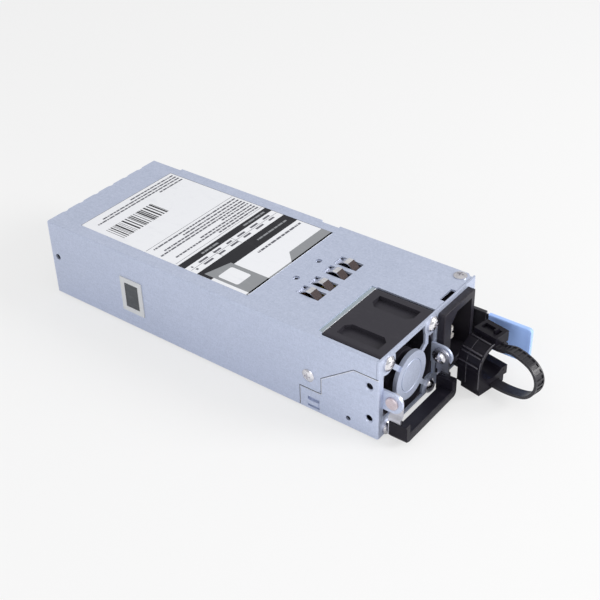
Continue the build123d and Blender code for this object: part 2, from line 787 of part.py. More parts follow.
with BuildPart() as inlet_pins:
    for x, z, lead in pin_rows:
        block(x - pin_w / 2, x + pin_w / 2, front - inlet_out + pin_recess - lead,
              socket_back + inlet_wall + pin_tail, z - pin_t / 2, z + pin_t / 2)
    chamfer(edges().filter_by(Axis.Z).group_by(Axis.Y)[0], 0.7)

# release lever: leaf with an eye, sleeve, grip, tooth, pin and bracket
sleeve_front = front - sleeve_out
paddle_back = sleeve_front - grip_gap
paddle_front = paddle_back - paddle_l
leaf_lo = lever_x - lever_t / 2
leaf_hi = lever_x + lever_t / 2
with BuildPart() as lever_leaf:
    block(leaf_lo, leaf_hi, front - sleeve_start, lever_pin_y, lever_z - lever_h / 2,
          lever_z + lever_h / 2)
    block(leaf_lo, leaf_hi, paddle_back, front - sleeve_start, lever_z - blade_h / 2,
          lever_z + blade_h / 2)
    block(leaf_lo, leaf_hi, paddle_front + paddle_l / 2, paddle_back, lever_z - blade_h / 4,
          lever_z + blade_h / 4)
    rod_z(lever_z - lever_h / 2, lever_z + lever_h / 2, lever_pin_x, lever_pin_y, lever_eye_r)
    rod_z(lever_z - lever_h / 2, lever_z + lever_h / 2, lever_pin_x, lever_pin_y,
          lever_pin_r + run_fit, Mode.SUBTRACT)
with BuildPart() as lever_sleeve:
    block(lever_x - sleeve_t / 2, lever_x + sleeve_t / 2, sleeve_front, front - sleeve_start,
          lever_z - blade_h / 2 - 0.5, lever_z + blade_h / 2 + 0.5)
    add(lever_leaf.part, mode=Mode.SUBTRACT)
with BuildPart() as lever_grip:
    with BuildSketch(Plane.YZ.offset(lever_x - paddle_t / 2)):
        with Locations(((paddle_back + paddle_front) / 2, lever_z)):
            Rectangle(paddle_l, paddle_h)
        fillet(vertices().group_by(Axis.X)[0], paddle_r)
    extrude(amount=paddle_t)
    chamfer(edges().group_by(Axis.X)[0] + edges().group_by(Axis.X)[-1], 0.3)
    for side in (-1, 1):
        with BuildSketch(Plane.YZ.offset(lever_x + side * paddle_t / 2)):
            with Locations(((paddle_back + paddle_front) / 2, lever_z)):
                RectangleRounded(paddle_l - 2 * paddle_rim, paddle_h - 2 * paddle_rim, paddle_r)
        extrude(amount=-side * paddle_dish, mode=Mode.SUBTRACT)
    add(lever_leaf.part, mode=Mode.SUBTRACT)
with BuildPart() as lever_tooth:
    with BuildSketch(Plane.XY.offset(lever_z - tooth_h / 2)):
        with BuildLine():
            Polyline(
                (leaf_hi, tooth_y - tooth_l / 2),
                (right + tooth_out, tooth_y - tooth_l / 2),
                (right + tooth_out, tooth_y - tooth_l / 2 + 1.2),
                (inside_r, tooth_y + tooth_l / 2),
                (leaf_hi, tooth_y + tooth_l / 2),
                close=True,
            )
        make_face()
    extrude(amount=tooth_h)
lug_low = lever_z - lever_h / 2 - joint_gap
lug_high = lever_z + lever_h / 2 + joint_gap
with BuildPart() as lever_bracket:
    plate_x = inside_r - 0.6
    block(plate_x, inside_r, lever_pin_y - 4, lever_pin_y + 4, lug_low - lug_t, lug_high + lug_t)
    for z in (lug_low - lug_t, lug_high):
        block(lever_pin_x, plate_x, lever_pin_y - 2, lever_pin_y + 2, z, z + lug_t)
        rod_z(z, z + lug_t, lever_pin_x, lever_pin_y, 2)
        rod_z(z, z + lug_t, lever_pin_x, lever_pin_y, lever_pin_r, Mode.SUBTRACT)
with BuildPart() as lever_pin:
    rod_z(lug_low - lug_t, lug_high + lug_t, lever_pin_x, lever_pin_y, lever_pin_r)

# cord strap: a ladder band that leaves the plate low down, loops and comes back over the clamp
def out_at(d, s, z):
    # point at distance d along the strap, s across it and z up
    return (
        strap_x + d * forward[0] + s * across[0],
        front + d * forward[1] + s * across[1],
        z,
    )


def across_plane(d):
    # plane square to the strap at distance d, its X across the band and its Y up
    return Plane(origin=out_at(d, 0, 0), x_dir=across, z_dir=forward)


strap_side = Plane(
    origin=out_at(0, strap_s, 0), x_dir=forward, z_dir=(-across[0], -across[1], 0)
)
loop_points = [
    (loop_start + 14.1, strap_z + 2.4),
    (loop_start + 21.2, strap_z + 11.9),
    (loop_start + 16.1, strap_top_z + 0.4),
    (loop_start + 8.4, strap_top_z + 2.0),
    (loop_start + 4.6, strap_top_z + 1.2),
    (loop_start + 0.5, strap_top_z),
]
with BuildPart() as cord_strap:
    with BuildSketch(strap_side):
        with BuildLine() as strap_line:
            run = Line((0.2, strap_z), (loop_start, strap_z))
            for point in loop_points:
                run = TangentArc(run @ 1, point, tangent=run % 1)
            Line(run @ 1, (strap_tail, strap_top_z))
        trace(line_width=strap_t)
    extrude(amount=strap_w / 2, both=True)
    # pockets of the ladder on the outer side
    band = strap_line.wires()[0]
    with BuildSketch(strap_side):
        for k in range(rung_count):
            share = (k + 2.5) / (rung_count + 3)
            heading = band.tangent_at(share)
            spot = band.position_at(share)
            turn = degrees(atan2(heading.Y, heading.X))
            with Locations((spot.X + heading.Y * strap_t / 2, spot.Y - heading.X * strap_t / 2)):
                Rectangle(rung_l, 2 * rung_d, rotation=turn)
    extrude(amount=rung_w / 2, both=True, mode=Mode.SUBTRACT)
    # plug that holds the band in the front plate
    rod_y(front - plug_head_h, front, plug_x, strap_z, plug_head_r)
    rod_y(front, inside_f, plug_x, strap_z, plug_r)
    rod_y(inside_f, inside_f + 1, plug_x, strap_z, plug_r + plug_barb)

# clamp: open ring on a flat base, channel below for the strap and a head above with a pawl
clamp_front = clamp_back + clamp_l
base_low = strap_z + channel_h / 2
head_s = strap_s + 1.7
with BuildPart() as clamp_body:
    with BuildSketch(across_plane(clamp_back)):
        with Locations((0, ring_z)):
            Circle(ring_r)
            for turn in (104, 139, 148, 172):
                with Locations(Location((0, 0, 0), (0, 0, turn))):
                    with Locations((ring_r, 0)):
                        Rectangle(2 * rib_h, rib_w)
        with Locations((-ring_r / 2 + 0.2, (base_low + ring_z) / 2)):
            Rectangle(ring_r, ring_z - base_low)
        with Locations((0, base_low + base_h / 2)):
            Rectangle(base_w, base_h)
        with Locations((base_w / 2 - 1.1, base_low + 2.4)):
            Rectangle(2.2, 4.8)
        with Locations((head_s, ring_z + ring_r - head_h / 2 + 2.4)):
            Rectangle(head_w, head_h)
        with Locations((0, ring_z)):
            Circle(ring_r - ring_wall, mode=Mode.SUBTRACT)
        with Locations((ring_r, ring_z - 0.6)):
            Rectangle(ring_r, ring_open, mode=Mode.SUBTRACT)
    extrude(amount=clamp_l)
    with BuildSketch(across_plane(clamp_back + 1)):
        with Locations((0, strap_z)):
            Rectangle(channel_w, channel_h)
    extrude(amount=clamp_l - 1.6)
    with BuildSketch(across_plane(clamp_back)):
        with Locations((strap_s, strap_z), (strap_s, strap_top_z)):
            Rectangle(strap_w + 2 * channel_clear, strap_t + 2 * channel_clear)
    extrude(amount=clamp_l, mode=Mode.SUBTRACT)
    # pocket and bore for the pawl
    with BuildSketch(across_plane(clamp_back + 1.5)):
        with Locations((head_s, strap_top_z + head_h)):
            Rectangle(pawl_w + 2 * joint_gap, 2 * head_h)
    extrude(amount=clamp_l - 3, mode=Mode.SUBTRACT)
    pawl_z = strap_top_z + strap_t / 2 + joint_gap + 2.3
    pawl_d = clamp_back + 3
    with Locations(Plane(origin=out_at(pawl_d, head_s, pawl_z), x_dir=forward, z_dir=across)):
        Cylinder(pawl_pin_r + run_fit, head_w + 2, mode=Mode.SUBTRACT)
with BuildPart() as clamp_pawl:
    with BuildSketch(across_plane(pawl_d - 1)):
        with Locations((head_s, pawl_z)):
            Rectangle(pawl_w, pawl_t)
    extrude(amount=pawl_l)
    tip = pawl_d - 1 + pawl_l
    with BuildSketch(across_plane(tip - 1.4)):
        with Locations((head_s, (pawl_z + strap_top_z + strap_t / 2 + joint_gap) / 2)):
            Rectangle(pawl_w, pawl_z - strap_top_z - strap_t / 2 - joint_gap)
    extrude(amount=1.4)
    with BuildSketch(across_plane(tip - 1)):
        with Locations((head_s, pawl_z + 1.6)):
            Rectangle(pawl_w, 3.2)
    extrude(amount=1)
    with Locations(Plane(origin=out_at(pawl_d, head_s, pawl_z), x_dir=forward, z_dir=across)):
        Cylinder(pawl_pin_r, head_w - 0.6)


def ground_spring(pair_x):
    # base strip under the cover with two fingers that rise through the windows
    window_back = window_y + window_l / 2
    window_front = window_y - window_l / 2
    base_half = (window_pitch + finger_w) / 2
    block(pair_x - base_half, pair_x + base_half, window_back + 0.2, dimple_y + 3.4,
          under_top - spring_t, under_top)
    for side in (-1, 1):
        x = pair_x + side * window_pitch / 2
        with BuildSketch(Plane.YZ.offset(x - finger_w / 2)) as side_view:
            with BuildLine():
                Polyline(
                    (window_back + 0.3, under_top),
                    (window_back - 0.6, under_top),
                    (window_y + finger_ridge / 2, case_h + finger_rise),
                    (window_y - finger_ridge / 2, case_h + finger_rise),
                    (window_front + 0.7, under_top - 1),
                    (window_front + 0.7, under_top - 1 - spring_t),
                    (window_y - finger_ridge / 2 + 0.1, case_h + finger_rise - spring_t),
                    (window_y + finger_ridge / 2 - 0.1, case_h + finger_rise - spring_t),
                    (window_back - 0.5, under_top - spring_t),
                    (window_back + 0.3, under_top - spring_t),
                    close=True,
                )
            make_face()
        extrude(side_view.sketch, amount=finger_w)
    rod_z(under_top - spring_t, under_top, dimple_x, dimple_y, dimple_r - 0.4, Mode.SUBTRACT)


dimple_x = -dimple_pitch / 2
with BuildPart() as ground_spring_left:
    ground_spring(-pair_pitch / 2)
dimple_x = dimple_pitch / 2
with BuildPart() as ground_spring_right:
    ground_spring(pair_pitch / 2)

# main board with its rear tongue, and the gold fingers on both faces of the tongue
board_x = board_w / 2
notch_back = lever_pin_y + 8
notch_x = lever_pin_x - 6
tongue_back = back + tongue_out
posts = [(-board_x + 5, board_front + 7), (notch_x - 5, board_front + 7),
         (-board_x + 5, board_back - 5), (board_x - 5, board_back - 5)]
with BuildPart() as main_board:
    block(-board_x, board_x, board_front, board_back, board_z, board_top)
    block(notch_x, board_x, board_front, notch_back, board_z, board_top, Mode.SUBTRACT)
    block(-tongue_w / 2, tongue_w / 2, board_back, tongue_back, board_z, board_top)
    nose_edges = edges().filter_by(Axis.X).group_by(Axis.Y)[-1]
    chamfer(nose_edges, 0.4)
    for x, y in posts:
        rod_z(board_z, board_top, x, y, board_screw_r, Mode.SUBTRACT)
with BuildPart() as gold_fingers:
    for z in (board_top, board_z - pad_t):
        with Locations((0, tongue_back - 0.8 - finger_pad_l / 2, z + pad_t / 2)):
            with GridLocations(tongue_w / finger_count, 1, finger_count, 1):
                Box(finger_pad_w, finger_pad_l, pad_t)
with BuildPart() as standoffs:
    for x, y in posts:
        rod_z(sheet, board_z, x, y, standoff_r)
        rod_z(board_z - 5, board_z, x, y, board_screw_r, Mode.SUBTRACT)
with BuildPart() as board_screw_shape:
    screw(board_screw_head_r, board_screw_head_h, board_screw_r, 4.5 + board_t / 2)
with BuildPart() as board_screws:
    for x, y in posts:
        with Locations((x, y, board_top)):
            add(board_screw_shape.part)
with BuildPart() as insulator:
    block(inside_l + sheet + 2 * seam + joint_gap, inside_r - joint_gap, board_front + 1,
          board_back - 1, sheet, sheet + sheet_ins_t)
    for x, y in posts:
        rod_z(sheet, sheet + sheet_ins_t, x, y, standoff_r, Mode.SUBTRACT)

# power parts that stand on the board: a column of round parts on the left
bulk_h = part_room
sink_h = bulk_h - sink_drop
core_h = sink_h
left_parts = 2 * (filter_r + choke_r + 2 * bulk_r) + fuse_clip_w
row_gap = (board_l - left_parts) / 20
filter_y = board_front + fuse_clip_w + 1.2 * row_gap + filter_r
choke_y = filter_y + filter_r + row_gap + choke_r
cap_x = -board_x + bulk_r + 2
cap_rows = [choke_y + choke_r + row_gap + bulk_r]
cap_rows.append(cap_rows[0] + 2 * bulk_r + row_gap)
with BuildPart() as bulk_capacitor_front:
    rod_z(board_top, board_top + bulk_h, cap_x, cap_rows[0], bulk_r)
    fillet(edges().group_by(Axis.Z)[-1], 1.2)
with BuildPart() as bulk_capacitor_rear:
    rod_z(board_top, board_top + bulk_h, cap_x, cap_rows[1], bulk_r)
    fillet(edges().group_by(Axis.Z)[-1], 1.2)


def ring_coil(x, y, outer, bore, high):
    # wound ring lying flat on the board
    rod_z(board_top, board_top + high, x, y, outer)
    rod_z(board_top, board_top + high, x, y, bore, Mode.SUBTRACT)
    fillet(edges().filter_by(GeomType.CIRCLE), min(3.0, (outer - bore) * 0.35))
    with Locations((x, y, board_top + high)):
        with PolarLocations((outer + bore) / 2, 20):
            Box(outer - bore + 2, 0.5, 0.8, mode=Mode.SUBTRACT)


# the column on the right: film capacitors, relay and choke, inductor, transformer, sink, cans
sink_x = cap_x + bulk_r + sink_gap + sink_t
core_left = sink_x + transistor_t + core_gap
core_right = board_x - 1
core_w = core_right - core_left
core_x = (core_left + core_right) / 2
winding_r = core_w / 2 - winding_in
film_depth = film_pitch + film_l
can_depth = 4 * can_r + can_gap
right_parts = film_depth + 2 * filter_r + inductor_l + core_l + sink_t + fin_d + can_depth
part_gap = (board_l - right_parts - lead_room) / 7
film_y = board_front + lead_room + part_gap + film_depth / 2
filter_right_y = film_y + film_depth / 2 + part_gap + filter_r
inductor_y = filter_right_y + filter_r + part_gap + inductor_l / 2
core_y = inductor_y + inductor_l / 2 + part_gap + core_l / 2
sink_y = core_y + core_l / 2 + part_gap
can_y = sink_y + sink_t + fin_d + part_gap + can_depth / 2
relay_right = board_x - 1.5
filter_right_x = relay_right - relay_w - 1 - filter_r
film_right = notch_x - 5 - board_screw_head_r - 2.1
with BuildPart() as pfc_choke:
    ring_coil(-board_x + choke_r + 2, choke_y, choke_r, choke_bore, choke_h)
with BuildPart() as filter_choke_left:
    ring_coil(-board_x + filter_r + 4, filter_y, filter_r, filter_bore, filter_h)
with BuildPart() as filter_choke_right:
    ring_coil(filter_right_x, filter_right_y, filter_r, filter_bore, filter_h)
with BuildPart() as relay:
    block(relay_right - relay_w, relay_right, filter_right_y - relay_l / 2,
          filter_right_y + relay_l / 2, board_top, board_top + relay_h)
    fillet(edges().group_by(Axis.Z)[-1], 0.8)
with BuildPart() as film_capacitors:
    for side in (-1, 1):
        y = film_y + side * film_pitch / 2
        block(film_right - film_w, film_right, y - film_l / 2, y + film_l / 2, board_top,
              board_top + film_h)
with BuildPart() as fuse:
    fuse_right = film_right - film_w - 1.5
    fuse_y = board_front + fuse_clip_w / 2 + 1
    fuse_z = board_top + fuse_r + 0.8
    rod_x(fuse_right - fuse_l, fuse_right, fuse_y, fuse_z, fuse_r)
    for x in (fuse_right - fuse_l, fuse_right - fuse_l / 4):
        block(x, x + fuse_l / 4, fuse_y - fuse_clip_w / 2, fuse_y + fuse_clip_w / 2, board_top,
              fuse_z + fuse_r / 2)
with BuildPart() as resonant_inductor:
    block(core_x - inductor_w / 2, core_x + inductor_w / 2, inductor_y - inductor_l / 2,
          inductor_y + inductor_l / 2, board_top, board_top + core_h - inductor_drop)
    fillet(edges().filter_by(Axis.Z), 1.5)
with BuildPart() as transformer_core:
    block(core_left, core_right, core_y - core_l / 2, core_y + core_l / 2, board_top,
          board_top + core_h)
    with BuildSketch(Plane.XY.offset(board_top + core_h * 0.2)):
        with Locations((core_x, core_y)):
            Rectangle(core_w - winding_in, core_l + 2)
            Circle(winding_r * 0.5, mode=Mode.SUBTRACT)
    extrude(amount=core_h * 0.6, mode=Mode.SUBTRACT)
with BuildPart() as transformer_winding:
    rod_z(board_top + core_h * 0.2, board_top + core_h * 0.8, core_x, core_y, winding_r)
    rod_z(board_top + core_h * 0.2, board_top + core_h * 0.8, core_x, core_y, winding_r * 0.5,
          Mode.SUBTRACT)
sink_front = cap_rows[0] - bulk_r
sink_back = sink_y - 1
transistor_pitch = (sink_back - sink_front) / 3
transistor_w = transistor_pitch - transistor_gap
with BuildPart() as primary_heatsink:
    block(sink_x - sink_t, sink_x, sink_front, sink_back, board_top, board_top + sink_h)
    for k in range(6):
        z = board_top + sink_h * (k + 0.5) / 6
        block(sink_x - sink_t, sink_x - sink_t * 0.7, sink_front, sink_back, z - 0.4, z + 0.4,
              Mode.SUBTRACT)
with BuildPart() as power_transistors:
    for k in range(3):
        y = sink_front + transistor_pitch * (k + 0.5)
        block(sink_x, sink_x + transistor_t, y - transistor_w / 2, y + transistor_w / 2,
              board_top + 3, board_top + transistor_h)
        with Locations((sink_x + transistor_t / 2, y, board_top + 1.5)):
            with GridLocations(1, transistor_w / 3, 1, 3):
                Box(0.8, 1.2, 3)
with BuildPart() as secondary_heatsink:
    block(sink_x, board_x - 2, sink_y, sink_y + sink_t, board_top, board_top + sink_h)
    fin_span = board_x - 2 - sink_x - fin_t
    for k in range(9):
        x = sink_x + k * fin_span / 8
        block(x, x + fin_t, sink_y + sink_t, sink_y + sink_t + fin_d, board_top, board_top + sink_h)
with BuildPart() as output_capacitors:
    can_x = board_x - 5 - board_screw_head_r - 1.6 * (2 * can_r + can_gap)
    with Locations((can_x, can_y, board_top + can_h / 2)):
        with GridLocations(2 * can_r + can_gap, 2 * can_r + can_gap, 3, 2):
            Cylinder(can_r, can_h)
with BuildPart() as control_board:
    control_x = -board_x + 5 + board_screw_head_r + 0.6
    control_y = cap_rows[1] + bulk_r + row_gap
    control_l = 10 * row_gap
    block(control_x, control_x + board_t, control_y, control_y + control_l, board_top,
          board_top + bulk_h - 1)
    for k in range(3):
        y = control_y + control_l * (k + 0.5) / 3
        block(control_x + board_t, control_x + board_t + chip_t, y - control_l / 9,
              y + control_l / 9, board_top + chip_h, board_top + 2 * chip_h)

# leads of the fan and of the inlet
with BuildPart() as fan_leads:
    for k in range(3):
        lead_x = fan_x + 9 + 1.8 * k
        with BuildLine() as lead_line:
            Spline((lead_x, fan_back, 4.5), (lead_x, fan_back + 3, 5.0),
                   (lead_x, board_front + 1, board_z - 2), (lead_x, board_front + 4, board_z),
                   tangents=((0, 1, 0), (0, 0, 1)))
        with BuildSketch(Plane(origin=(lead_x, fan_back, 4.5), x_dir=(1, 0, 0), z_dir=(0, 1, 0))):
            Circle(0.6)
        sweep()
with BuildPart() as inlet_leads:
    for k in range(3):
        tail_y = socket_back + inlet_wall + pin_tail
        pin_px = pin_rows[k][0]
        pin_pz = pin_rows[k][1]
        land_x = pin_px - 4 + 3 * k
        with BuildLine() as lead_line:
            Spline((pin_px, tail_y, pin_pz), (pin_px, tail_y + 3, pin_pz),
                   (land_x, board_front - 4, board_top + 6),
                   (land_x, board_front + lead_r + 0.3, board_top),
                   tangents=((0, 1, 0), (0, 0, -1)))
        with BuildSketch(Plane(origin=(pin_px, tail_y, pin_pz), x_dir=(1, 0, 0), z_dir=(0, 1, 0))):
            Circle(lead_r)
        sweep()

# label on the cover, and the window on the left side
with BuildPart() as rating_label:
    with BuildSketch(Plane.XY.offset(case_h)):
        with Locations((0, label_y)):
            RectangleRounded(label_w, label_l, label_r)
    extrude(amount=label_t)
with BuildPart() as window_frame:
    block(left - view_t, left, view_y - view_w / 2, view_y + view_w / 2, view_z - view_h / 2,
          view_z + view_h / 2)
    block(left - view_t, left, view_y - pane_w / 2, view_y + pane_w / 2, view_z - pane_h / 2,
          view_z + pane_h / 2, Mode.SUBTRACT)
with BuildPart() as window_pane:
    block(left - view_t / 2, inside_l, view_y - pane_w / 2, view_y + pane_w / 2,
          view_z - pane_h / 2, view_z + pane_h / 2)

top_cover.part.label = "top_cover"
export_step(top_cover.part, "parts/top_cover.step")
chassis.part.label = "chassis"
export_step(chassis.part, "parts/chassis.step")
cover_screw_top.part.label = "cover_screw_top"
export_step(cover_screw_top.part, "parts/cover_screw_top.step")
cover_screw_side.part.label = "cover_screw_side"
export_step(cover_screw_side.part, "parts/cover_screw_side.step")
fan_frame.part.label = "fan_frame"
export_step(fan_frame.part, "parts/fan_frame.step")
fan_rotor.part.label = "fan_rotor"
export_step(fan_rotor.part, "parts/fan_rotor.step")
fan_shaft.part.label = "fan_shaft"
export_step(fan_shaft.part, "parts/fan_shaft.step")
fan_magnet.part.label = "fan_magnet"
export_step(fan_magnet.part, "parts/fan_magnet.step")
fan_bearings.part.label = "fan_bearings"
export_step(fan_bearings.part, "parts/fan_bearings.step")
fan_stator.part.label = "fan_stator"
export_step(fan_stator.part, "parts/fan_stator.step")
fan_screws.part.label = "fan_screws"
export_step(fan_screws.part, "parts/fan_screws.step")
handle_bracket.part.label = "handle_bracket"
export_step(handle_bracket.part, "parts/handle_bracket.step")
handle_grip.part.label = "handle_grip"
export_step(handle_grip.part, "parts/handle_grip.step")
handle_rivet.part.label = "handle_rivet"
export_step(handle_rivet.part, "parts/handle_rivet.step")
handle_screw.part.label = "handle_screw"
export_step(handle_screw.part, "parts/handle_screw.step")
inlet_body.part.label = "inlet_body"
export_step(inlet_body.part, "parts/inlet_body.step")
inlet_pins.part.label = "inlet_pins"
export_step(inlet_pins.part, "parts/inlet_pins.step")
lever_leaf.part.label = "lever_leaf"
export_step(lever_leaf.part, "parts/lever_leaf.step")
lever_sleeve.part.label = "lever_sleeve"
export_step(lever_sleeve.part, "parts/lever_sleeve.step")
lever_grip.part.label = "lever_grip"
export_step(lever_grip.part, "parts/lever_grip.step")
lever_tooth.part.label = "lever_tooth"
export_step(lever_tooth.part, "parts/lever_tooth.step")
lever_bracket.part.label = "lever_bracket"
export_step(lever_bracket.part, "parts/lever_bracket.step")
lever_pin.part.label = "lever_pin"
export_step(lever_pin.part, "parts/lever_pin.step")
cord_strap.part.label = "cord_strap"
export_step(cord_strap.part, "parts/cord_strap.step")
clamp_body.part.label = "clamp_body"
export_step(clamp_body.part, "parts/clamp_body.step")
clamp_pawl.part.label = "clamp_pawl"
export_step(clamp_pawl.part, "parts/clamp_pawl.step")
ground_spring_left.part.label = "ground_spring_left"
export_step(ground_spring_left.part, "parts/ground_spring_left.step")
ground_spring_right.part.label = "ground_spring_right"
export_step(ground_spring_right.part, "parts/ground_spring_right.step")
main_board.part.label = "main_board"
export_step(main_board.part, "parts/main_board.step")
gold_fingers.part.label = "gold_fingers"
export_step(gold_fingers.part, "parts/gold_fingers.step")
standoffs.part.label = "standoffs"
export_step(standoffs.part, "parts/standoffs.step")
board_screws.part.label = "board_screws"
export_step(board_screws.part, "parts/board_screws.step")
insulator.part.label = "insulator"
export_step(insulator.part, "parts/insulator.step")
bulk_capacitor_front.part.label = "bulk_capacitor_front"
export_step(bulk_capacitor_front.part, "parts/bulk_capacitor_front.step")
bulk_capacitor_rear.part.label = "bulk_capacitor_rear"
export_step(bulk_capacitor_rear.part, "parts/bulk_capacitor_rear.step")
pfc_choke.part.label = "pfc_choke"
export_step(pfc_choke.part, "parts/pfc_choke.step")
filter_choke_left.part.label = "filter_choke_left"
export_step(filter_choke_left.part, "parts/filter_choke_left.step")
filter_choke_right.part.label = "filter_choke_right"
export_step(filter_choke_right.part, "parts/filter_choke_right.step")
transformer_core.part.label = "transformer_core"
export_step(transformer_core.part, "parts/transformer_core.step")
transformer_winding.part.label = "transformer_winding"
export_step(transformer_winding.part, "parts/transformer_winding.step")
primary_heatsink.part.label = "primary_heatsink"
export_step(primary_heatsink.part, "parts/primary_heatsink.step")
secondary_heatsink.part.label = "secondary_heatsink"
export_step(secondary_heatsink.part, "parts/secondary_heatsink.step")
power_transistors.part.label = "power_transistors"
export_step(power_transistors.part, "parts/power_transistors.step")
resonant_inductor.part.label = "resonant_inductor"
export_step(resonant_inductor.part, "parts/resonant_inductor.step")
relay.part.label = "relay"
export_step(relay.part, "parts/relay.step")
film_capacitors.part.label = "film_capacitors"
export_step(film_capacitors.part, "parts/film_capacitors.step")
fuse.part.label = "fuse"
export_step(fuse.part, "parts/fuse.step")
output_capacitors.part.label = "output_capacitors"
export_step(output_capacitors.part, "parts/output_capacitors.step")
control_board.part.label = "control_board"
export_step(control_board.part, "parts/control_board.step")
fan_leads.part.label = "fan_leads"
export_step(fan_leads.part, "parts/fan_leads.step")
inlet_leads.part.label = "inlet_leads"
export_step(inlet_leads.part, "parts/inlet_leads.step")
rating_label.part.label = "rating_label"
export_step(rating_label.part, "parts/rating_label.step")
window_frame.part.label = "window_frame"
export_step(window_frame.part, "parts/window_frame.step")
window_pane.part.label = "window_pane"
export_step(window_pane.part, "parts/window_pane.step")
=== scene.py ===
import json
import math
import bpy
import numpy as np
from mathutils import Euler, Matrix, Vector


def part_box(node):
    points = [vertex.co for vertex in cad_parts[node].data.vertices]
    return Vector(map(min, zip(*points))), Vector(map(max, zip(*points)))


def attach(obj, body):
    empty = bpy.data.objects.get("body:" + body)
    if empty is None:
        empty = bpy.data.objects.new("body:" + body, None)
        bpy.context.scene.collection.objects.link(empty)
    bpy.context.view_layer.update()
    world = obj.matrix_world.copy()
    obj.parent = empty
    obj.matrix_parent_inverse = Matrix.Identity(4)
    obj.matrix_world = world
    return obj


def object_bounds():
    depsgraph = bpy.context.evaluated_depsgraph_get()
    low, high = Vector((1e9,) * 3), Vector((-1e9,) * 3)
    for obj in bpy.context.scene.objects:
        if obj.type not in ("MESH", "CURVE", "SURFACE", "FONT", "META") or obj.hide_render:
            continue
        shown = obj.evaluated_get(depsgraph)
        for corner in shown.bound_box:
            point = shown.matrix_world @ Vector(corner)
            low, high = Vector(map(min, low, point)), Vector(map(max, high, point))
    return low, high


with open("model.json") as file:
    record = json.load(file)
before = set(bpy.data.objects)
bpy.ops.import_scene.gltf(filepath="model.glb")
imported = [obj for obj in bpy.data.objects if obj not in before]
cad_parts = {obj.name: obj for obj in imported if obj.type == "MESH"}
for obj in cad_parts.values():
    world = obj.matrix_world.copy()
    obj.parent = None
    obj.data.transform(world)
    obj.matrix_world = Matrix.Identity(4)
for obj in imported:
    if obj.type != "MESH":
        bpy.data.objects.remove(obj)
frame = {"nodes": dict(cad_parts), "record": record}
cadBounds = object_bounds()
nodes = frame["nodes"]
mm = 0.001
print("frame loaded:", len(nodes), "nodes")

# camera and surroundings
view = {
    "place": (-0.32337, -0.27917, 0.30616),
    "turn": (0.963423, 0.023665, -0.923477),
    "lens": 68.04,
    "sensor": 36.0,
}
studio = {
    "skyTop": (1.0, 1.0, 1.0, 1.0),
    "skySide": (0.62, 0.64, 0.70, 1.0),
    "skyStrength": 0.76,
    "floorTone": (0.86, 0.86, 0.86, 1.0),
    "floorShown": 0.913,
    "floorShare": 0.68,
    "lamps": [
        # name, place, size, power, colour
        ("keySoft", (0.40, -0.90, 0.50), 0.5, 8.5, (1.0, 0.99, 0.98)),
        ("leftSoft", (-0.95, -0.25, 0.30), 0.8, 3.4, (1.0, 1.0, 1.0)),
    ],
}


def addNode(tree, kind, values=None, **settings):
    # a node with its settings; a socket given as a value is linked
    made = tree.nodes.new(kind)
    for key, value in settings.items():
        setattr(made, key, value)
    for key, value in (values or {}).items():
        if isinstance(value, bpy.types.NodeSocket):
            tree.links.new(value, made.inputs[key])
        else:
            made.inputs[key].default_value = value
    return made


def addMath(tree, operation, first, second=0.0, clamp=False):
    made = addNode(tree, "ShaderNodeMath", {0: first, 1: second}, operation=operation)
    made.use_clamp = clamp
    return made.outputs[0]


def addMix(tree, amount, first, second):
    made = addNode(tree, "ShaderNodeMix", data_type="RGBA")
    for key, value in ((0, amount), (6, first), (7, second)):
        if isinstance(value, bpy.types.NodeSocket):
            tree.links.new(value, made.inputs[key])
        else:
            made.inputs[key].default_value = value
    return made.outputs[2]


def addNoise(tree, place, scale, detail=3.0, rough=0.5):
    values = {"Vector": place, "Scale": scale, "Detail": detail, "Roughness": rough}
    return addNode(tree, "ShaderNodeTexNoise", values).outputs["Fac"]


def addRange(tree, value, low, high, outLow, outHigh):
    values = {"Value": value, 1: low, 2: high, 3: outLow, 4: outHigh}
    return addNode(tree, "ShaderNodeMapRange", values).outputs[0]


def stretched(tree, place, stretch):
    return addNode(tree, "ShaderNodeMapping", {"Vector": place, "Scale": stretch}).outputs[0]


def newGroup(name, inputs, outputs):
    tree = bpy.data.node_groups.new(name, "ShaderNodeTree")
    for label, kind, value in inputs:
        socket = tree.interface.new_socket(label, in_out="INPUT", socket_type=kind)
        socket.default_value = value
    for label, kind in outputs:
        tree.interface.new_socket(label, in_out="OUTPUT", socket_type=kind)
    entry = tree.nodes.new("NodeGroupInput")
    leave = tree.nodes.new("NodeGroupOutput")
    place = addNode(tree, "ShaderNodeTexCoord").outputs["Object"]
    return tree, entry.outputs, leave.inputs, place


def finishGroup(tree, result, tone, mask, rough, height, strength, depth):
    # the three outputs: a tone, a roughness that runs between two values by a mask, and a bump
    low, high = rough
    spread = addNode(tree, "ShaderNodeMapRange", {"Value": mask, 3: low, 4: high}).outputs[0]
    values = {"Height": height, "Strength": strength, "Distance": depth}
    bump = addNode(tree, "ShaderNodeBump", values).outputs[0]
    for made, name in ((tone, "Color"), (spread, "Roughness"), (bump, "Normal")):
        tree.links.new(made, result[name])
    return tree


colour, number, vector = "NodeSocketColor", "NodeSocketFloat", "NodeSocketVector"
surfaceOutputs = [("Color", colour), ("Roughness", number), ("Normal", vector)]


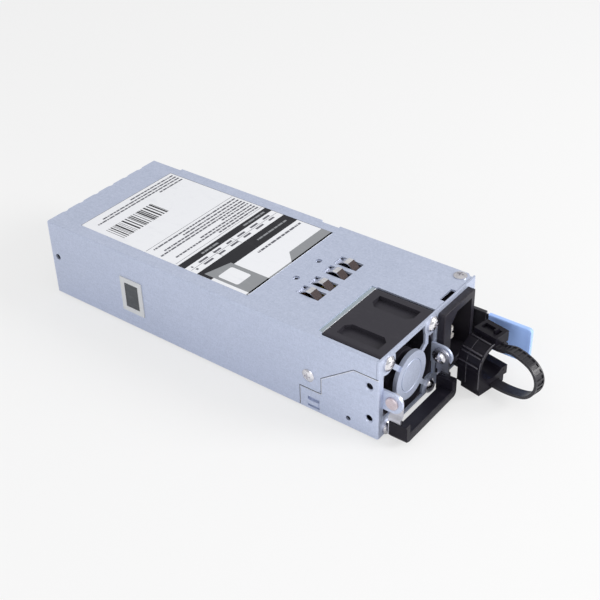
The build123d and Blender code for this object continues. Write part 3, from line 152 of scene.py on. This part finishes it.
def sheetSteelGroup():
    # zinc-plated sheet: flakes, rolling lines along the length, fine grain and faint stains
    tree, given, result, place = newGroup(
        "sheetSteel",
        [("Light Tone", colour, (0.6, 0.6, 0.6, 1)), ("Dark Tone", colour, (0.5, 0.5, 0.5, 1)),
         ("Flake Scale", number, 900.0), ("Grain Scale", number, 1500.0),
         ("Roughness Low", number, 0.3), ("Roughness High", number, 0.45),
         ("Grain Height", number, 0.02)],
        surfaceOutputs)
    warp = addNoise(tree, place, 300.0)
    warped = addNode(tree, "ShaderNodeVectorMath",
                     {0: place, 1: addNode(tree, "ShaderNodeCombineXYZ",
                                           {"X": addMath(tree, "MULTIPLY", warp, 0.002),
                                            "Y": addMath(tree, "MULTIPLY", warp, 0.003)}).outputs[0]},
                     operation="ADD").outputs[0]
    flakes = addNode(tree, "ShaderNodeTexVoronoi",
                     {"Vector": warped, "Scale": given["Flake Scale"]}).outputs["Color"]
    flake = addNode(tree, "ShaderNodeSeparateColor", {0: flakes}).outputs[0]
    grain = addNoise(tree, place, given["Grain Scale"], 2.0)
    rolled = addNoise(tree, stretched(tree, place, (1.0, 0.06, 1.0)), 900.0, 3.0)
    stain = addNoise(tree, place, 22.0, 4.0, 0.6)
    shade = addMath(tree, "ADD", addRange(tree, flake, 0.0, 1.0, 0.0, 0.30),
                    addRange(tree, grain, 0.3, 0.7, 0.0, 0.55))
    shade = addMath(tree, "ADD", shade, addRange(tree, rolled, 0.35, 0.65, 0.0, 0.16))
    shade = addMath(tree, "ADD", shade, addRange(tree, stain, 0.3, 0.7, -0.08, 0.08), True)
    height = addMath(tree, "ADD", grain, addMath(tree, "MULTIPLY", rolled, 0.5))
    tone = addMix(tree, shade, given["Light Tone"], given["Dark Tone"])
    rough = (given["Roughness Low"], given["Roughness High"])
    return finishGroup(tree, result, tone, shade, rough, height, given["Grain Height"], 0.0002)


def mouldedGroup():
    # moulded plastic: spark-eroded grain, soft tone changes and a few rubbed spots
    tree, given, result, place = newGroup(
        "moulded",
        [("Tone", colour, (0.05, 0.05, 0.05, 1)), ("Rubbed Tone", colour, (0.1, 0.1, 0.1, 1)),
         ("Grain Scale", number, 2600.0), ("Roughness Low", number, 0.35),
         ("Roughness High", number, 0.55), ("Grain Height", number, 0.15)],
        surfaceOutputs)
    grain = addNoise(tree, place, given["Grain Scale"], 2.0)
    cloud = addNoise(tree, place, 70.0, 3.0)
    rub = addNoise(tree, stretched(tree, place, (1.0, 0.4, 1.6)), 320.0, 5.0, 0.65)
    rubbed = addMath(tree, "MULTIPLY", addRange(tree, rub, 0.52, 0.72, 0.0, 1.0),
                     addRange(tree, cloud, 0.35, 0.65, 0.15, 0.7), True)
    mixed = addMath(tree, "ADD", addMath(tree, "MULTIPLY", grain, 0.5),
                    addMath(tree, "MULTIPLY", cloud, 0.5), True)
    tone = addMix(tree, rubbed, given["Tone"], given["Rubbed Tone"])
    rough = (given["Roughness Low"], given["Roughness High"])
    return finishGroup(tree, result, tone, mixed, rough, grain, given["Grain Height"], 0.0001)


def turnedGroup():
    # plated or turned metal: fine scratches one way, soft tarnish
    tree, given, result, place = newGroup(
        "turned",
        [("Light Tone", colour, (0.8, 0.8, 0.8, 1)), ("Dark Tone", colour, (0.5, 0.5, 0.5, 1)),
         ("Scratch Scale", number, 1500.0), ("Stretch", vector, (1.0, 0.08, 1.0)),
         ("Roughness Low", number, 0.12), ("Roughness High", number, 0.3),
         ("Scratch Height", number, 0.05)],
        surfaceOutputs)
    along = addNode(tree, "ShaderNodeVectorMath", {0: place, 1: given["Stretch"]},
                    operation="MULTIPLY").outputs[0]
    scratch = addNoise(tree, along, given["Scratch Scale"], 3.0, 0.6)
    tarnish = addNoise(tree, place, 160.0, 4.0, 0.6)
    shade = addMath(tree, "ADD", addRange(tree, scratch, 0.35, 0.7, 0.0, 0.4),
                    addRange(tree, tarnish, 0.4, 0.7, 0.0, 0.6), True)
    tone = addMix(tree, shade, given["Light Tone"], given["Dark Tone"])
    rough = (given["Roughness Low"], given["Roughness High"])
    return finishGroup(tree, result, tone, shade, rough, scratch, given["Scratch Height"], 0.0001)


def woundGroup():
    # enamelled wire: round strands side by side, drawn as slanting bands
    tree, given, result, place = newGroup(
        "wound",
        [("Tone", colour, (0.5, 0.2, 0.08, 1)), ("Gap Tone", colour, (0.1, 0.03, 0.01, 1)),
         ("Strand Scale", number, 900.0), ("Roughness Low", number, 0.25),
         ("Roughness High", number, 0.5), ("Strand Height", number, 0.6)],
        surfaceOutputs)
    wave = addNode(tree, "ShaderNodeTexWave",
                   {"Vector": place, "Scale": given["Strand Scale"], "Distortion": 1.5,
                    "Detail": 1.0}, bands_direction="DIAGONAL").outputs["Fac"]
    tone = addMix(tree, wave, given["Gap Tone"], given["Tone"])
    rough = (given["Roughness High"], given["Roughness Low"])
    return finishGroup(tree, result, tone, wave, rough, wave, given["Strand Height"], 0.0003)


def laminateGroup():
    # circuit board: solder mask over copper runs, with plated pads
    tree, given, result, place = newGroup(
        "laminate",
        [("Mask Tone", colour, (0.02, 0.08, 0.04, 1)), ("Run Tone", colour, (0.05, 0.17, 0.08, 1)),
         ("Pad Tone", colour, (0.6, 0.6, 0.58, 1)), ("Run Scale", number, 260.0),
         ("Roughness Low", number, 0.2), ("Roughness High", number, 0.4)],
        surfaceOutputs)
    cells = addNode(tree, "ShaderNodeTexVoronoi",
                    {"Vector": place, "Scale": given["Run Scale"], "Randomness": 0.9},
                    distance="MANHATTAN", feature="F1")
    edge = addRange(tree, cells.outputs["Distance"], 0.30, 0.34, 0.0, 1.0)
    pad = addRange(tree, cells.outputs["Distance"], 0.10, 0.13, 1.0, 0.0)
    base = addMix(tree, edge, given["Run Tone"], given["Mask Tone"])
    tone = addMix(tree, pad, base, given["Pad Tone"])
    rough = (given["Roughness Low"], given["Roughness High"])
    return finishGroup(tree, result, tone, edge, rough, edge, 0.3, 0.0001)


def springGroup():
    # spring steel: a light tone, with a painted dark reflection in brown on the slopes that face the
    # front; scratch streaks lean towards the same painted tone
    tree, given, result, place = newGroup(
        "spring",
        [("Light Tone", colour, (0.85, 0.85, 0.88, 1)), ("Painted Reflection Tone", colour, (0.1, 0.08, 0.08, 1)),
         ("Scratch Scale", number, 1400.0), ("Roughness Low", number, 0.15),
         ("Roughness High", number, 0.35)],
        surfaceOutputs)
    facing = addNode(tree, "ShaderNodeSeparateXYZ",
                     {0: addNode(tree, "ShaderNodeTexCoord").outputs["Normal"]}).outputs["Y"]
    # painted reflection: faces whose normal points to the front (-Y) take the dark brown tone
    paintedReflection = addRange(tree, facing, -0.5, -0.25, 1.0, 0.0)
    scratch = addNoise(tree, stretched(tree, place, (1.0, 0.1, 1.0)), given["Scratch Scale"], 3.0, 0.6)
    tone = addMix(tree, paintedReflection, given["Light Tone"], given["Painted Reflection Tone"])
    streak = addRange(tree, scratch, 0.3, 0.7, 0.0, 0.35)
    tone = addMix(tree, streak, tone, given["Painted Reflection Tone"])
    rough = (given["Roughness Low"], given["Roughness High"])
    return finishGroup(tree, result, tone, scratch, rough, scratch, 0.05, 0.0001)


groups = {
    "spring": springGroup(),
    "sheetSteel": sheetSteelGroup(),
    "moulded": mouldedGroup(),
    "turned": turnedGroup(),
    "wound": woundGroup(),
    "laminate": laminateGroup(),
}


def newLook(name, group, values, **shader):
    # a Principled material fed by a group; uniform values sit on the shader's own sockets
    look = bpy.data.materials.new(name)
    look.use_nodes = True
    tree = look.node_tree
    surface = tree.nodes["Principled BSDF"]
    made = addNode(tree, "ShaderNodeGroup", node_tree=groups[group])
    for key, value in values.items():
        made.inputs[key].default_value = value
    tree.links.new(made.outputs["Color"], surface.inputs["Base Color"])
    tree.links.new(made.outputs["Roughness"], surface.inputs["Roughness"])
    tree.links.new(made.outputs["Normal"], surface.inputs["Normal"])
    for key, value in shader.items():
        surface.inputs[key.replace("_", " ")].default_value = value
    return look


def steelLook(name, lightTone, darkTone, low, high):
    values = {"Light Tone": lightTone, "Dark Tone": darkTone, "Roughness Low": low,
              "Roughness High": high}
    return newLook(name, "sheetSteel", values, Metallic=0.5)


def plasticLook(name, tone, rubbed, low=0.35, high=0.55, height=0.15, **shader):
    values = {"Tone": tone, "Rubbed Tone": rubbed, "Roughness Low": low, "Roughness High": high,
              "Grain Height": height}
    return newLook(name, "moulded", values, **shader)


def turnedLook(name, lightTone, darkTone, low=0.12, high=0.3):
    values = {"Light Tone": lightTone, "Dark Tone": darkTone, "Roughness Low": low,
              "Roughness High": high}
    return newLook(name, "turned", values, Metallic=1.0)


looks = {
    "case_steel": steelLook("caseSteel", (0.56, 0.61, 0.76, 1), (0.44, 0.49, 0.62, 1), 0.36, 0.52),
    "screw_steel": turnedLook("screwSteel", (0.86, 0.85, 0.88, 1), (0.50, 0.49, 0.52, 1)),
    "rivet_steel": turnedLook("rivetSteel", (0.74, 0.66, 0.70, 1), (0.48, 0.40, 0.42, 1), 0.3, 0.45),
    "spring_steel": newLook("springSteel", "spring", {}, Metallic=1.0),
    "lever_steel": turnedLook("leverSteel", (0.80, 0.82, 0.88, 1), (0.58, 0.60, 0.66, 1), 0.2, 0.35),
    "bracket_steel": turnedLook("bracketSteel", (0.66, 0.66, 0.72, 1), (0.40, 0.40, 0.44, 1), 0.25, 0.4),
    "fan_plastic": plasticLook("fanPlastic", (0.028, 0.026, 0.034, 1), (0.045, 0.043, 0.053, 1),
                               Specular_IOR_Level=0.22),
    "handle_plastic": plasticLook("handlePlastic", (0.010, 0.009, 0.014, 1), (0.026, 0.023, 0.030, 1),
                                  0.28, 0.45, Specular_IOR_Level=0.12),
    "inlet_plastic": plasticLook("inletPlastic", (0.018, 0.016, 0.022, 1), (0.038, 0.034, 0.042, 1),
                                 Specular_IOR_Level=0.25),
    "clamp_plastic": plasticLook("clampPlastic", (0.008, 0.007, 0.011, 1), (0.018, 0.016, 0.022, 1),
                                 0.22, 0.4, Specular_IOR_Level=0.14),
    "strap_plastic": plasticLook("strapPlastic", (0.014, 0.013, 0.018, 1), (0.04, 0.038, 0.045, 1),
                                 0.3, 0.48),
    "sleeve_plastic": plasticLook("sleevePlastic", (0.016, 0.015, 0.02, 1), (0.04, 0.038, 0.045, 1)),
    "blue_plastic": plasticLook("bluePlastic", (0.36, 0.53, 0.95, 1), (0.42, 0.59, 0.98, 1), 0.28, 0.42,
                                0.08, Coat_Weight=0.1, Specular_IOR_Level=0.3),
    "label_film": plasticLook("labelFilm", (0.78, 0.79, 0.82, 1), (0.70, 0.71, 0.75, 1), 0.32, 0.45,
                              0.03),
    "window_trim": plasticLook("windowTrim", (0.56, 0.57, 0.58, 1), (0.48, 0.47, 0.45, 1), 0.35, 0.5),
    "window_film": plasticLook("windowFilm", (0.045, 0.05, 0.055, 1), (0.09, 0.095, 0.10, 1), 0.15, 0.3),
    "board_laminate": newLook("boardLaminate", "laminate", {}, Coat_Weight=0.3),
    "gold_plate": turnedLook("goldPlate", (0.92, 0.66, 0.26, 1), (0.62, 0.40, 0.12, 1), 0.15, 0.3),
    "copper": newLook("copperWire", "wound", {"Tone": (0.72, 0.30, 0.12, 1)}, Metallic=0.8),
    "ferrite": plasticLook("ferrite", (0.035, 0.035, 0.038, 1), (0.08, 0.08, 0.085, 1), 0.5, 0.75, 0.4),
    "aluminium": turnedLook("aluminium", (0.84, 0.84, 0.86, 1), (0.58, 0.58, 0.60, 1), 0.25, 0.4),
    "sleeve_film": plasticLook("sleeveFilm", (0.02, 0.03, 0.08, 1), (0.05, 0.06, 0.12, 1), 0.2, 0.35),
    "part_plastic": plasticLook("partPlastic", (0.03, 0.03, 0.032, 1), (0.07, 0.07, 0.075, 1), 0.4, 0.6),
    "relay_plastic": plasticLook("relayPlastic", (0.03, 0.09, 0.30, 1), (0.06, 0.14, 0.38, 1)),
    "film_box": plasticLook("filmBox", (0.62, 0.46, 0.06, 1), (0.72, 0.58, 0.14, 1)),
    "glass_tube": plasticLook("glassTube", (0.80, 0.84, 0.84, 1), (0.70, 0.74, 0.74, 1), 0.05, 0.12, 0.0,
                              Transmission_Weight=0.85),
    "lead_cover": plasticLook("leadCover", (0.02, 0.02, 0.02, 1), (0.05, 0.05, 0.05, 1)),
    "brass": turnedLook("brass", (0.85, 0.68, 0.36, 1), (0.55, 0.40, 0.16, 1)),
    "pin_metal": newLook("pinMetal", "turned", {"Light Tone": (0.95, 0.92, 0.88, 1), "Dark Tone":
                         (0.80, 0.76, 0.70, 1)}, Metallic=0.2),
    "insulating_film": plasticLook("insulatingFilm", (0.72, 0.69, 0.56, 1), (0.64, 0.60, 0.48, 1)),
    "magnet": plasticLook("magnet", (0.03, 0.03, 0.03, 1), (0.06, 0.06, 0.06, 1), 0.5, 0.7),
}

for entry in frame["record"]["subparts"]:
    for place in nodes[entry["node"]].material_slots:
        place.material = looks[entry["material_slot"]]
print("materials:", len(looks))

# small rounding on the edges that catch the light: width in mm for each node
edgeRounds = {
    "top_cover": 0.12, "chassis": 0.12, "fan_frame": 0.25, "handle_grip": 0.3, "handle_bracket": 0.12,
    "inlet_body": 0.25, "lever_grip": 0.25, "lever_sleeve": 0.2, "lever_leaf": 0.08, "clamp_body": 0.2,
    "clamp_pawl": 0.12, "cord_strap": 0.1, "window_frame": 0.1,
}
for name, width in edgeRounds.items():
    rounding = nodes[name].modifiers.new("edgeRound", "BEVEL")
    rounding.width = width * mm
    rounding.segments = 2
    rounding.limit_method = "ANGLE"
    rounding.angle_limit = math.radians(40)
    rounding.use_clamp_overlap = True
print("edge rounds:", len(edgeRounds))


def newPiece(name, points, faces, look, body="case"):
    # a mesh in the row frame that rides on a CAD body
    mesh = bpy.data.meshes.new(name)
    mesh.from_pydata(points.tolist(), [], faces.tolist())
    mesh.materials.append(look)
    mesh.update()
    piece = bpy.data.objects.new(name, mesh)
    bpy.context.scene.collection.objects.link(piece)
    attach(piece, body)
    return piece


def blockCorners(blocks):
    # each block (x0, x1, y0, y1) gives its four corners, counter-clockwise
    edges = np.asarray(blocks, float)
    return np.stack([edges[:, [0, 2]], edges[:, [1, 2]], edges[:, [1, 3]], edges[:, [0, 3]]], 1)


def printed(name, corners, lift, look):
    # flat four-cornered patches at one height over the label, joined into one mesh
    flat = np.asarray(corners, float) * mm
    level = np.full(flat.shape[:2] + (1,), labelTop + lift * mm)
    points = np.concatenate([flat, level], 2).reshape(-1, 3)
    faces = np.arange(len(points)).reshape(-1, flat.shape[1])
    return newPiece(name, points, faces, look)


def beads(name, paths, radius, look, body="case", sides=8):
    # round cords along equal-length paths: a circle square to each path, drawn in to a point at both ends
    paths = np.asarray(paths, float)
    along = np.gradient(paths, axis=1)
    along /= np.linalg.norm(along, axis=2, keepdims=True)
    side = np.cross(along, np.where(np.abs(along[..., 2:]) > 0.9, [1.0, 0, 0], [0, 0, 1.0]))
    side /= np.linalg.norm(side, axis=2, keepdims=True)
    rise = np.cross(side, along)
    turns = np.arange(sides) * 2 * math.pi / sides
    girth = np.full(paths.shape[1], float(radius))
    girth[[0, -1]] = 0.01
    ring = side[:, :, None] * np.cos(turns)[:, None] + rise[:, :, None] * np.sin(turns)[:, None]
    points = (paths[:, :, None] + ring * girth[:, None, None]).reshape(-1, 3)
    count, length = paths.shape[:2]
    start = (np.arange(count)[:, None, None] * length + np.arange(length - 1)[:, None]) * sides
    here, after = start + np.arange(sides), start + (np.arange(sides) + 1) % sides
    faces = np.stack([here, after, after + sides, here + sides], 3).reshape(-1, 4)
    piece = newPiece(name, points * mm, faces, look, body)
    piece.data.shade_smooth()
    return piece


def eased(path, step=0.05):
    # a path with a short lead-in at both ends, so that a cord keeps its thickness up to them
    path = np.asarray(path, float)
    first = path[0] + (path[1] - path[0]) * step
    last = path[-1] + (path[-2] - path[-1]) * step
    return np.vstack([path[:1], first, path[1:-1], last, path[-1:]])


def roundedOutline(x0, x1, y0, y1, radius, steps=8):
    # four quarter circles about the inner corners, one after another
    turns = np.linspace(0, math.pi / 2, steps)[None, :] + np.arange(4)[:, None] * math.pi / 2
    centres = np.array([[x1 - radius, y1 - radius], [x0 + radius, y1 - radius],
                        [x0 + radius, y0 + radius], [x1 - radius, y0 + radius]])
    circle = np.stack([np.cos(turns), np.sin(turns)], 2) * radius
    return (centres[:, None, :] + circle).reshape(1, -1, 2)


def lineBars(right, left, y, high, seed, wordLow=0.8, wordHigh=3.4, gap=0.38):
    # a printed line as plain bars from the right: random lengths added up, cut off at the left
    random = np.random.default_rng(seed)
    lengths = random.uniform(wordLow, wordHigh, int((right - left) / wordLow) + 2)
    starts = right - np.concatenate([[0.0], np.cumsum(lengths + gap)[:-1]])
    ends = np.maximum(starts - lengths, left)
    kept = starts - ends > 0.5
    low = np.full(kept.sum(), y - high / 2)
    return np.stack([ends[kept], starts[kept], low, low + high], 1)


# label print: plain blocks, bands, rules and bars, and a thin dark line along the label's right and back
# edges
label = {
    "half": 30.4, "front": -22.4, "back": 76.5,
    "blackBand": (-2.4, 5.6), "lowerBand": (12.6, 16.7),
    "greyBlock": (-28.6, -15.2, 3.0, -0.6),
    "whiteBox": (-26.9, -17.6, -14.2, -3.0),
    "wedge": (0.0, 6.2, -16.2),
    "barcode": (-27.5, 2.9, 51.9, 63.6),
    "fineLines": (19.9, 21.8, 23.7, 25.9, 27.8, 29.7, 31.8, 34.0),
    "fineEnds": (1, -26, -8, 10, -29, -25, -10, -27),
    "backLines": (67.6, 69.8, 71.8, 73.9),
    "backEnds": (13, -26, -21, -1),
    "fineHigh": 1.0,
    # right, left, y, height, seed, then the shortest dash, the longest and the gap where they differ
    "wordRows": ((28.8, -2.0, -5.2, 1.2, 60), (26.0, -28.0, 8.0, 1.2, 61, 2.5, 6.0, 4.0),
                 (26.0, -28.0, 10.8, 1.2, 62, 2.5, 6.0, 4.0)),
    "lightRows": ((27.0, 6.0, 1.6, 1.0, 70, 1.5, 4.0), (27.0, 12.0, 14.6, 1.1, 71, 2.0, 5.0),
                  (-6.0, -17.0, 14.6, 1.1, 72, 2.0, 4.0)),
    "ruleRows": (9.4, 18.3, 36.2), "ruleColumns": (-12.8, 0.4), "ruleHalf": 0.12, "outline": 0.25,
    "seed": 11,
}
inkBlack = plasticLook("inkBlack", (0.012, 0.012, 0.016, 1), (0.03, 0.03, 0.035, 1), 0.3, 0.42, 0.02,
                       Specular_IOR_Level=0.18)
inkGrey = plasticLook("inkGrey", (0.235, 0.245, 0.26, 1), (0.28, 0.29, 0.30, 1), 0.3, 0.42, 0.02)
inkFine = plasticLook("inkFine", (0.11, 0.11, 0.13, 1), (0.17, 0.17, 0.19, 1), 0.32, 0.45, 0.02,
                      Specular_IOR_Level=0.2)
inkWhite = plasticLook("inkWhite", (0.78, 0.79, 0.82, 1), (0.70, 0.71, 0.75, 1), 0.32, 0.45, 0.02)
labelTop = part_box("rating_label")[1][2]
half = label["half"]
printed("labelBands", blockCorners([(-half, half, *label["blackBand"]),
                                    (-half, half, *label["lowerBand"])]), 0.010, inkBlack)
blockLeft, blockRight, highLeft, highRight = label["greyBlock"]
wedgeStart, wedgeEnd, wedgeTop = label["wedge"]
front = label["front"]
greys = [
    [(blockLeft, front), (blockRight, front), (blockRight, highRight), (blockLeft, highLeft)],
    [(wedgeStart, front), (half, front), (half, wedgeTop), (wedgeEnd, wedgeTop)],
    [(-half, front), (half, front), (half, front + 0.9), (-half, front + 0.9)],
]
printed("labelBlocks", greys, 0.016, inkGrey)
printed("labelBox", roundedOutline(*label["whiteBox"], 1.1), 0.022, inkWhite)
random = np.random.default_rng(label["seed"])
barLeft, barRight, barLow, barHigh = label["barcode"]
widths = random.choice([0.3, 0.45, 0.75, 1.05], 90)
edges = barLeft + np.cumsum(widths)
bars = np.stack([edges[0:-1:2], edges[1::2]], 1)
bars = bars[bars[:, 1] < barRight]
barBlocks = np.column_stack([bars, np.full(len(bars), barLow), np.full(len(bars), barHigh)])
printed("labelBars", blockCorners(barBlocks), 0.010, inkBlack)
lineRight, thick = half - 1.4, label["fineHigh"]
fine = [lineBars(lineRight, end, y, thick, seed)
        for seed, (y, end) in enumerate(zip(label["fineLines"], label["fineEnds"]))]
fine += [lineBars(lineRight, end, y, thick, 40 + seed)
         for seed, (y, end) in enumerate(zip(label["backLines"], label["backEnds"]))]
fine += [lineBars(*row) for row in label["wordRows"]]
ruleHalf, outline, back = label["ruleHalf"], label["outline"], label["back"]
rules = [(-half + 0.6, half - 0.6, y - ruleHalf, y + ruleHalf) for y in label["ruleRows"]]
rules += [(x - ruleHalf, x + ruleHalf, 6.0, 12.4) for x in label["ruleColumns"]]
# a thin dark line along the label's right and back edges
rules += [(half - outline, half, front, back), (-half, half, back - outline, back)]
printed("labelFine", blockCorners(np.vstack(fine + [rules])), 0.010, inkFine)
printed("labelLight", blockCorners(np.vstack([lineBars(*row) for row in label["lightRows"]])), 0.016,
        inkGrey)
print("label print done")

# cord clamp: moulded ribs along the ring, a rim round its front edge and a line round its middle, all in
# a grey lighter than the clamp: real relief with painted highlight
clamp = {
    "strapX": 21.5, "plateY": -92.5, "slant": -11.0, "back": 10.4, "front": 22.0,
    "ringZ": 15.0, "ringR": 9.7, "flatSide": -9.6, "footZ": 5.2,
    "ribTurns": (104, 139, 148, 172), "ribOut": 0.25, "ribR": 0.42,
    "ribEnds": (0.3, 0.2), "arcTurns": (96, 178), "rimBack": 0.1, "rimR": 0.3,
    "lineAt": 4.6, "lineR": 0.16,
}
slant = math.radians(clamp["slant"])


def clampPoint(out, side, high):
    # distance out along the strap, distance across it and height
    return np.stack([clamp["strapX"] + out * math.sin(slant) + side * math.cos(slant),
                     clamp["plateY"] - out * math.cos(slant) + side * math.sin(slant),
                     high + 0 * out], -1)


# painted highlight: the ribs, rim and middle line take a lighter grey than the black clamp
ribHighlightLook = plasticLook("clampRib", (0.045, 0.042, 0.052, 1), (0.08, 0.075, 0.09, 1), 0.2, 0.35)
ribStart, ribEnd = clamp["ribEnds"]
ribs = []
for turn in clamp["ribTurns"]:
    ribAt = clamp["ringR"] + clamp["ribOut"]
    out = np.array([clamp["back"] + ribStart, clamp["front"] - ribEnd])
    side = np.full(2, ribAt * math.cos(math.radians(turn)))
    high = np.full(2, clamp["ringZ"] + ribAt * math.sin(math.radians(turn)))
    ribs.append(eased(clampPoint(out, side, high)))
beads("clampRibs", ribs, clamp["ribR"], ribHighlightLook, "clamp")
turns = np.radians(np.linspace(*clamp["arcTurns"], 22))
side = np.append(np.cos(turns) * clamp["ringR"], clamp["flatSide"])
high = np.append(np.sin(turns) * clamp["ringR"] + clamp["ringZ"], clamp["footZ"])
rimAt = np.full(len(side), clamp["front"] - clamp["rimBack"])
lineAt = np.full(len(side), clamp["back"] + clamp["lineAt"])
beads("clampRimHighlight", [eased(clampPoint(rimAt, side, high))], clamp["rimR"], ribHighlightLook,
      "clamp")
beads("clampLine", [eased(clampPoint(lineAt, side, high))], clamp["lineR"], ribHighlightLook,
      "clamp")

# flap seam on the left wall with a bright strip beside it as painted highlight, and the pressed step
# behind the fan cut-out as a flat patch of painted shade with a painted highlight along its front edge
flap = {
    "wallX": -36.76, "seamR": 0.16, "highlightR": 0.13, "highlightShift": 0.3,
    "corners": ((-53.6, 0.2), (-53.6, 10.4), (-64.5, 10.4), (-64.5, 18.6), (-80.5, 30.2), (-92.3, 30.2)),
}
coverStep = {"y": (-62.95, -60.85), "z": 38.67, "left": 1.2, "right": 0.2, "highlightR": 0.16}
seamShade = plasticLook("seamShade", (0.07, 0.075, 0.09, 1), (0.12, 0.125, 0.14, 1), 0.5, 0.7)
paintedHighlight = steelLook("paintedHighlight", (0.95, 0.96, 1.0, 1), (0.82, 0.84, 0.90, 1), 0.3, 0.4)
paintedStepShade = steelLook("paintedStepShade", (0.40, 0.46, 0.50, 1), (0.32, 0.38, 0.42, 1), 0.36, 0.5)
corners = np.array([(flap["wallX"], y, z) for y, z in flap["corners"]])
beads("flapSeam", [eased(corners, 0.02)], flap["seamR"], seamShade)
# painted highlight: a bright steel strip just below and in front of the seam
beads("flapEdgeHighlight", [eased(corners + [0, -flap["highlightShift"], -flap["highlightShift"]], 0.02)], flap["highlightR"],
      paintedHighlight)
fanLow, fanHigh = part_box("fan_frame")
stepLeft, stepRight = fanLow[0] / mm + coverStep["left"], fanHigh[0] / mm - coverStep["right"]
stepFront, stepBack = coverStep["y"]
stepFlat = np.array([(stepLeft, stepFront, coverStep["z"]), (stepRight, stepFront, coverStep["z"]),
                     (stepRight, stepBack, coverStep["z"]), (stepLeft, stepBack, coverStep["z"])]) * mm
# painted shade: a darker steel patch laid flat over the pressed step
newPiece("coverStep", stepFlat, np.array([[0, 1, 2, 3]]), paintedStepShade)
# painted highlight: a bright bead along the step's front edge
stepHighlightPath = np.array([(stepLeft, stepFront, coverStep["z"]), (stepRight, stepFront, coverStep["z"])])
beads("coverStepHighlight", [eased(stepHighlightPath, 0.02)], coverStep["highlightR"], paintedHighlight)
print("clamp ribs, seam and step done")

# floor and backdrop: one pale plane under the part
floorLevel = cadBounds[0][2]
floorMesh = bpy.data.meshes.new("floor")
reach = 6.0
floorMesh.from_pydata([(-reach, -reach, floorLevel), (reach, -reach, floorLevel),
                       (reach, reach, floorLevel), (-reach, reach, floorLevel)], [], [(0, 1, 2, 3)])
floor = bpy.data.objects.new("floor", floorMesh)
bpy.context.scene.collection.objects.link(floor)
floorLook = bpy.data.materials.new("floorLook")
floorLook.use_nodes = True
tree = floorLook.node_tree
surface = tree.nodes["Principled BSDF"]
surface.inputs["Base Color"].default_value = studio["floorTone"]
surface.inputs["Roughness"].default_value = 1.0
surface.inputs["Specular IOR Level"].default_value = 0.0
shown = addNode(tree, "ShaderNodeEmission",
                {"Color": (1, 1, 1, 1), "Strength": studio["floorShown"]}).outputs[0]
camera = addNode(tree, "ShaderNodeLightPath").outputs["Is Camera Ray"]
share = addMath(tree, "MULTIPLY", camera, studio["floorShare"])
mixed = addNode(tree, "ShaderNodeMixShader", {0: share, 1: surface.outputs[0], 2: shown})
tree.links.new(mixed.outputs[0], tree.nodes["Material Output"].inputs[0])
floorMesh.materials.append(floorLook)

# world: pale overhead, a little darker to the sides; the camera sees the backdrop tone
world = bpy.data.worlds.new("studio")
bpy.context.scene.world = world
world.use_nodes = True
tree = world.node_tree
direction = addNode(tree, "ShaderNodeTexCoord").outputs["Generated"]
height = addNode(tree, "ShaderNodeSeparateXYZ", {0: direction}).outputs["Z"]
sky = addMix(tree, addRange(tree, height, 0.0, 0.45, 0.0, 1.0), studio["skySide"], studio["skyTop"])
camera = addNode(tree, "ShaderNodeLightPath").outputs["Is Camera Ray"]
lit = tree.nodes["Background"]
backdrop = addNode(tree, "ShaderNodeBackground",
                   {"Color": (1, 1, 1, 1), "Strength": studio["floorShown"]}).outputs[0]
tree.links.new(sky, lit.inputs["Color"])
lit.inputs["Strength"].default_value = studio["skyStrength"]
mixed = addNode(tree, "ShaderNodeMixShader", {0: camera, 1: lit.outputs[0], 2: backdrop})
tree.links.new(mixed.outputs[0], tree.nodes["World Output"].inputs[0])

for name, place, size, power, tint in studio["lamps"]:
    lamp = bpy.data.lights.new(name, "AREA")
    lamp.shape = "DISK"
    lamp.size = size
    lamp.energy = power
    lamp.color = tint
    holder = bpy.data.objects.new(name, lamp)
    holder.location = place
    holder.rotation_euler = (-Vector(place)).to_track_quat("-Z", "Y").to_euler()
    bpy.context.scene.collection.objects.link(holder)
print("stage done")

lens = bpy.data.cameras.new("photoView")
lens.lens = view["lens"]
lens.sensor_width = view["sensor"]
lens.clip_start = 0.01
photoView = bpy.data.objects.new("photoView", lens)
photoView.location = view["place"]
photoView.rotation_euler = Euler(view["turn"], "XYZ")
bpy.context.scene.collection.objects.link(photoView)
bpy.context.scene.camera = photoView
bpy.context.scene.view_settings.view_transform = "Standard"

print("view done")
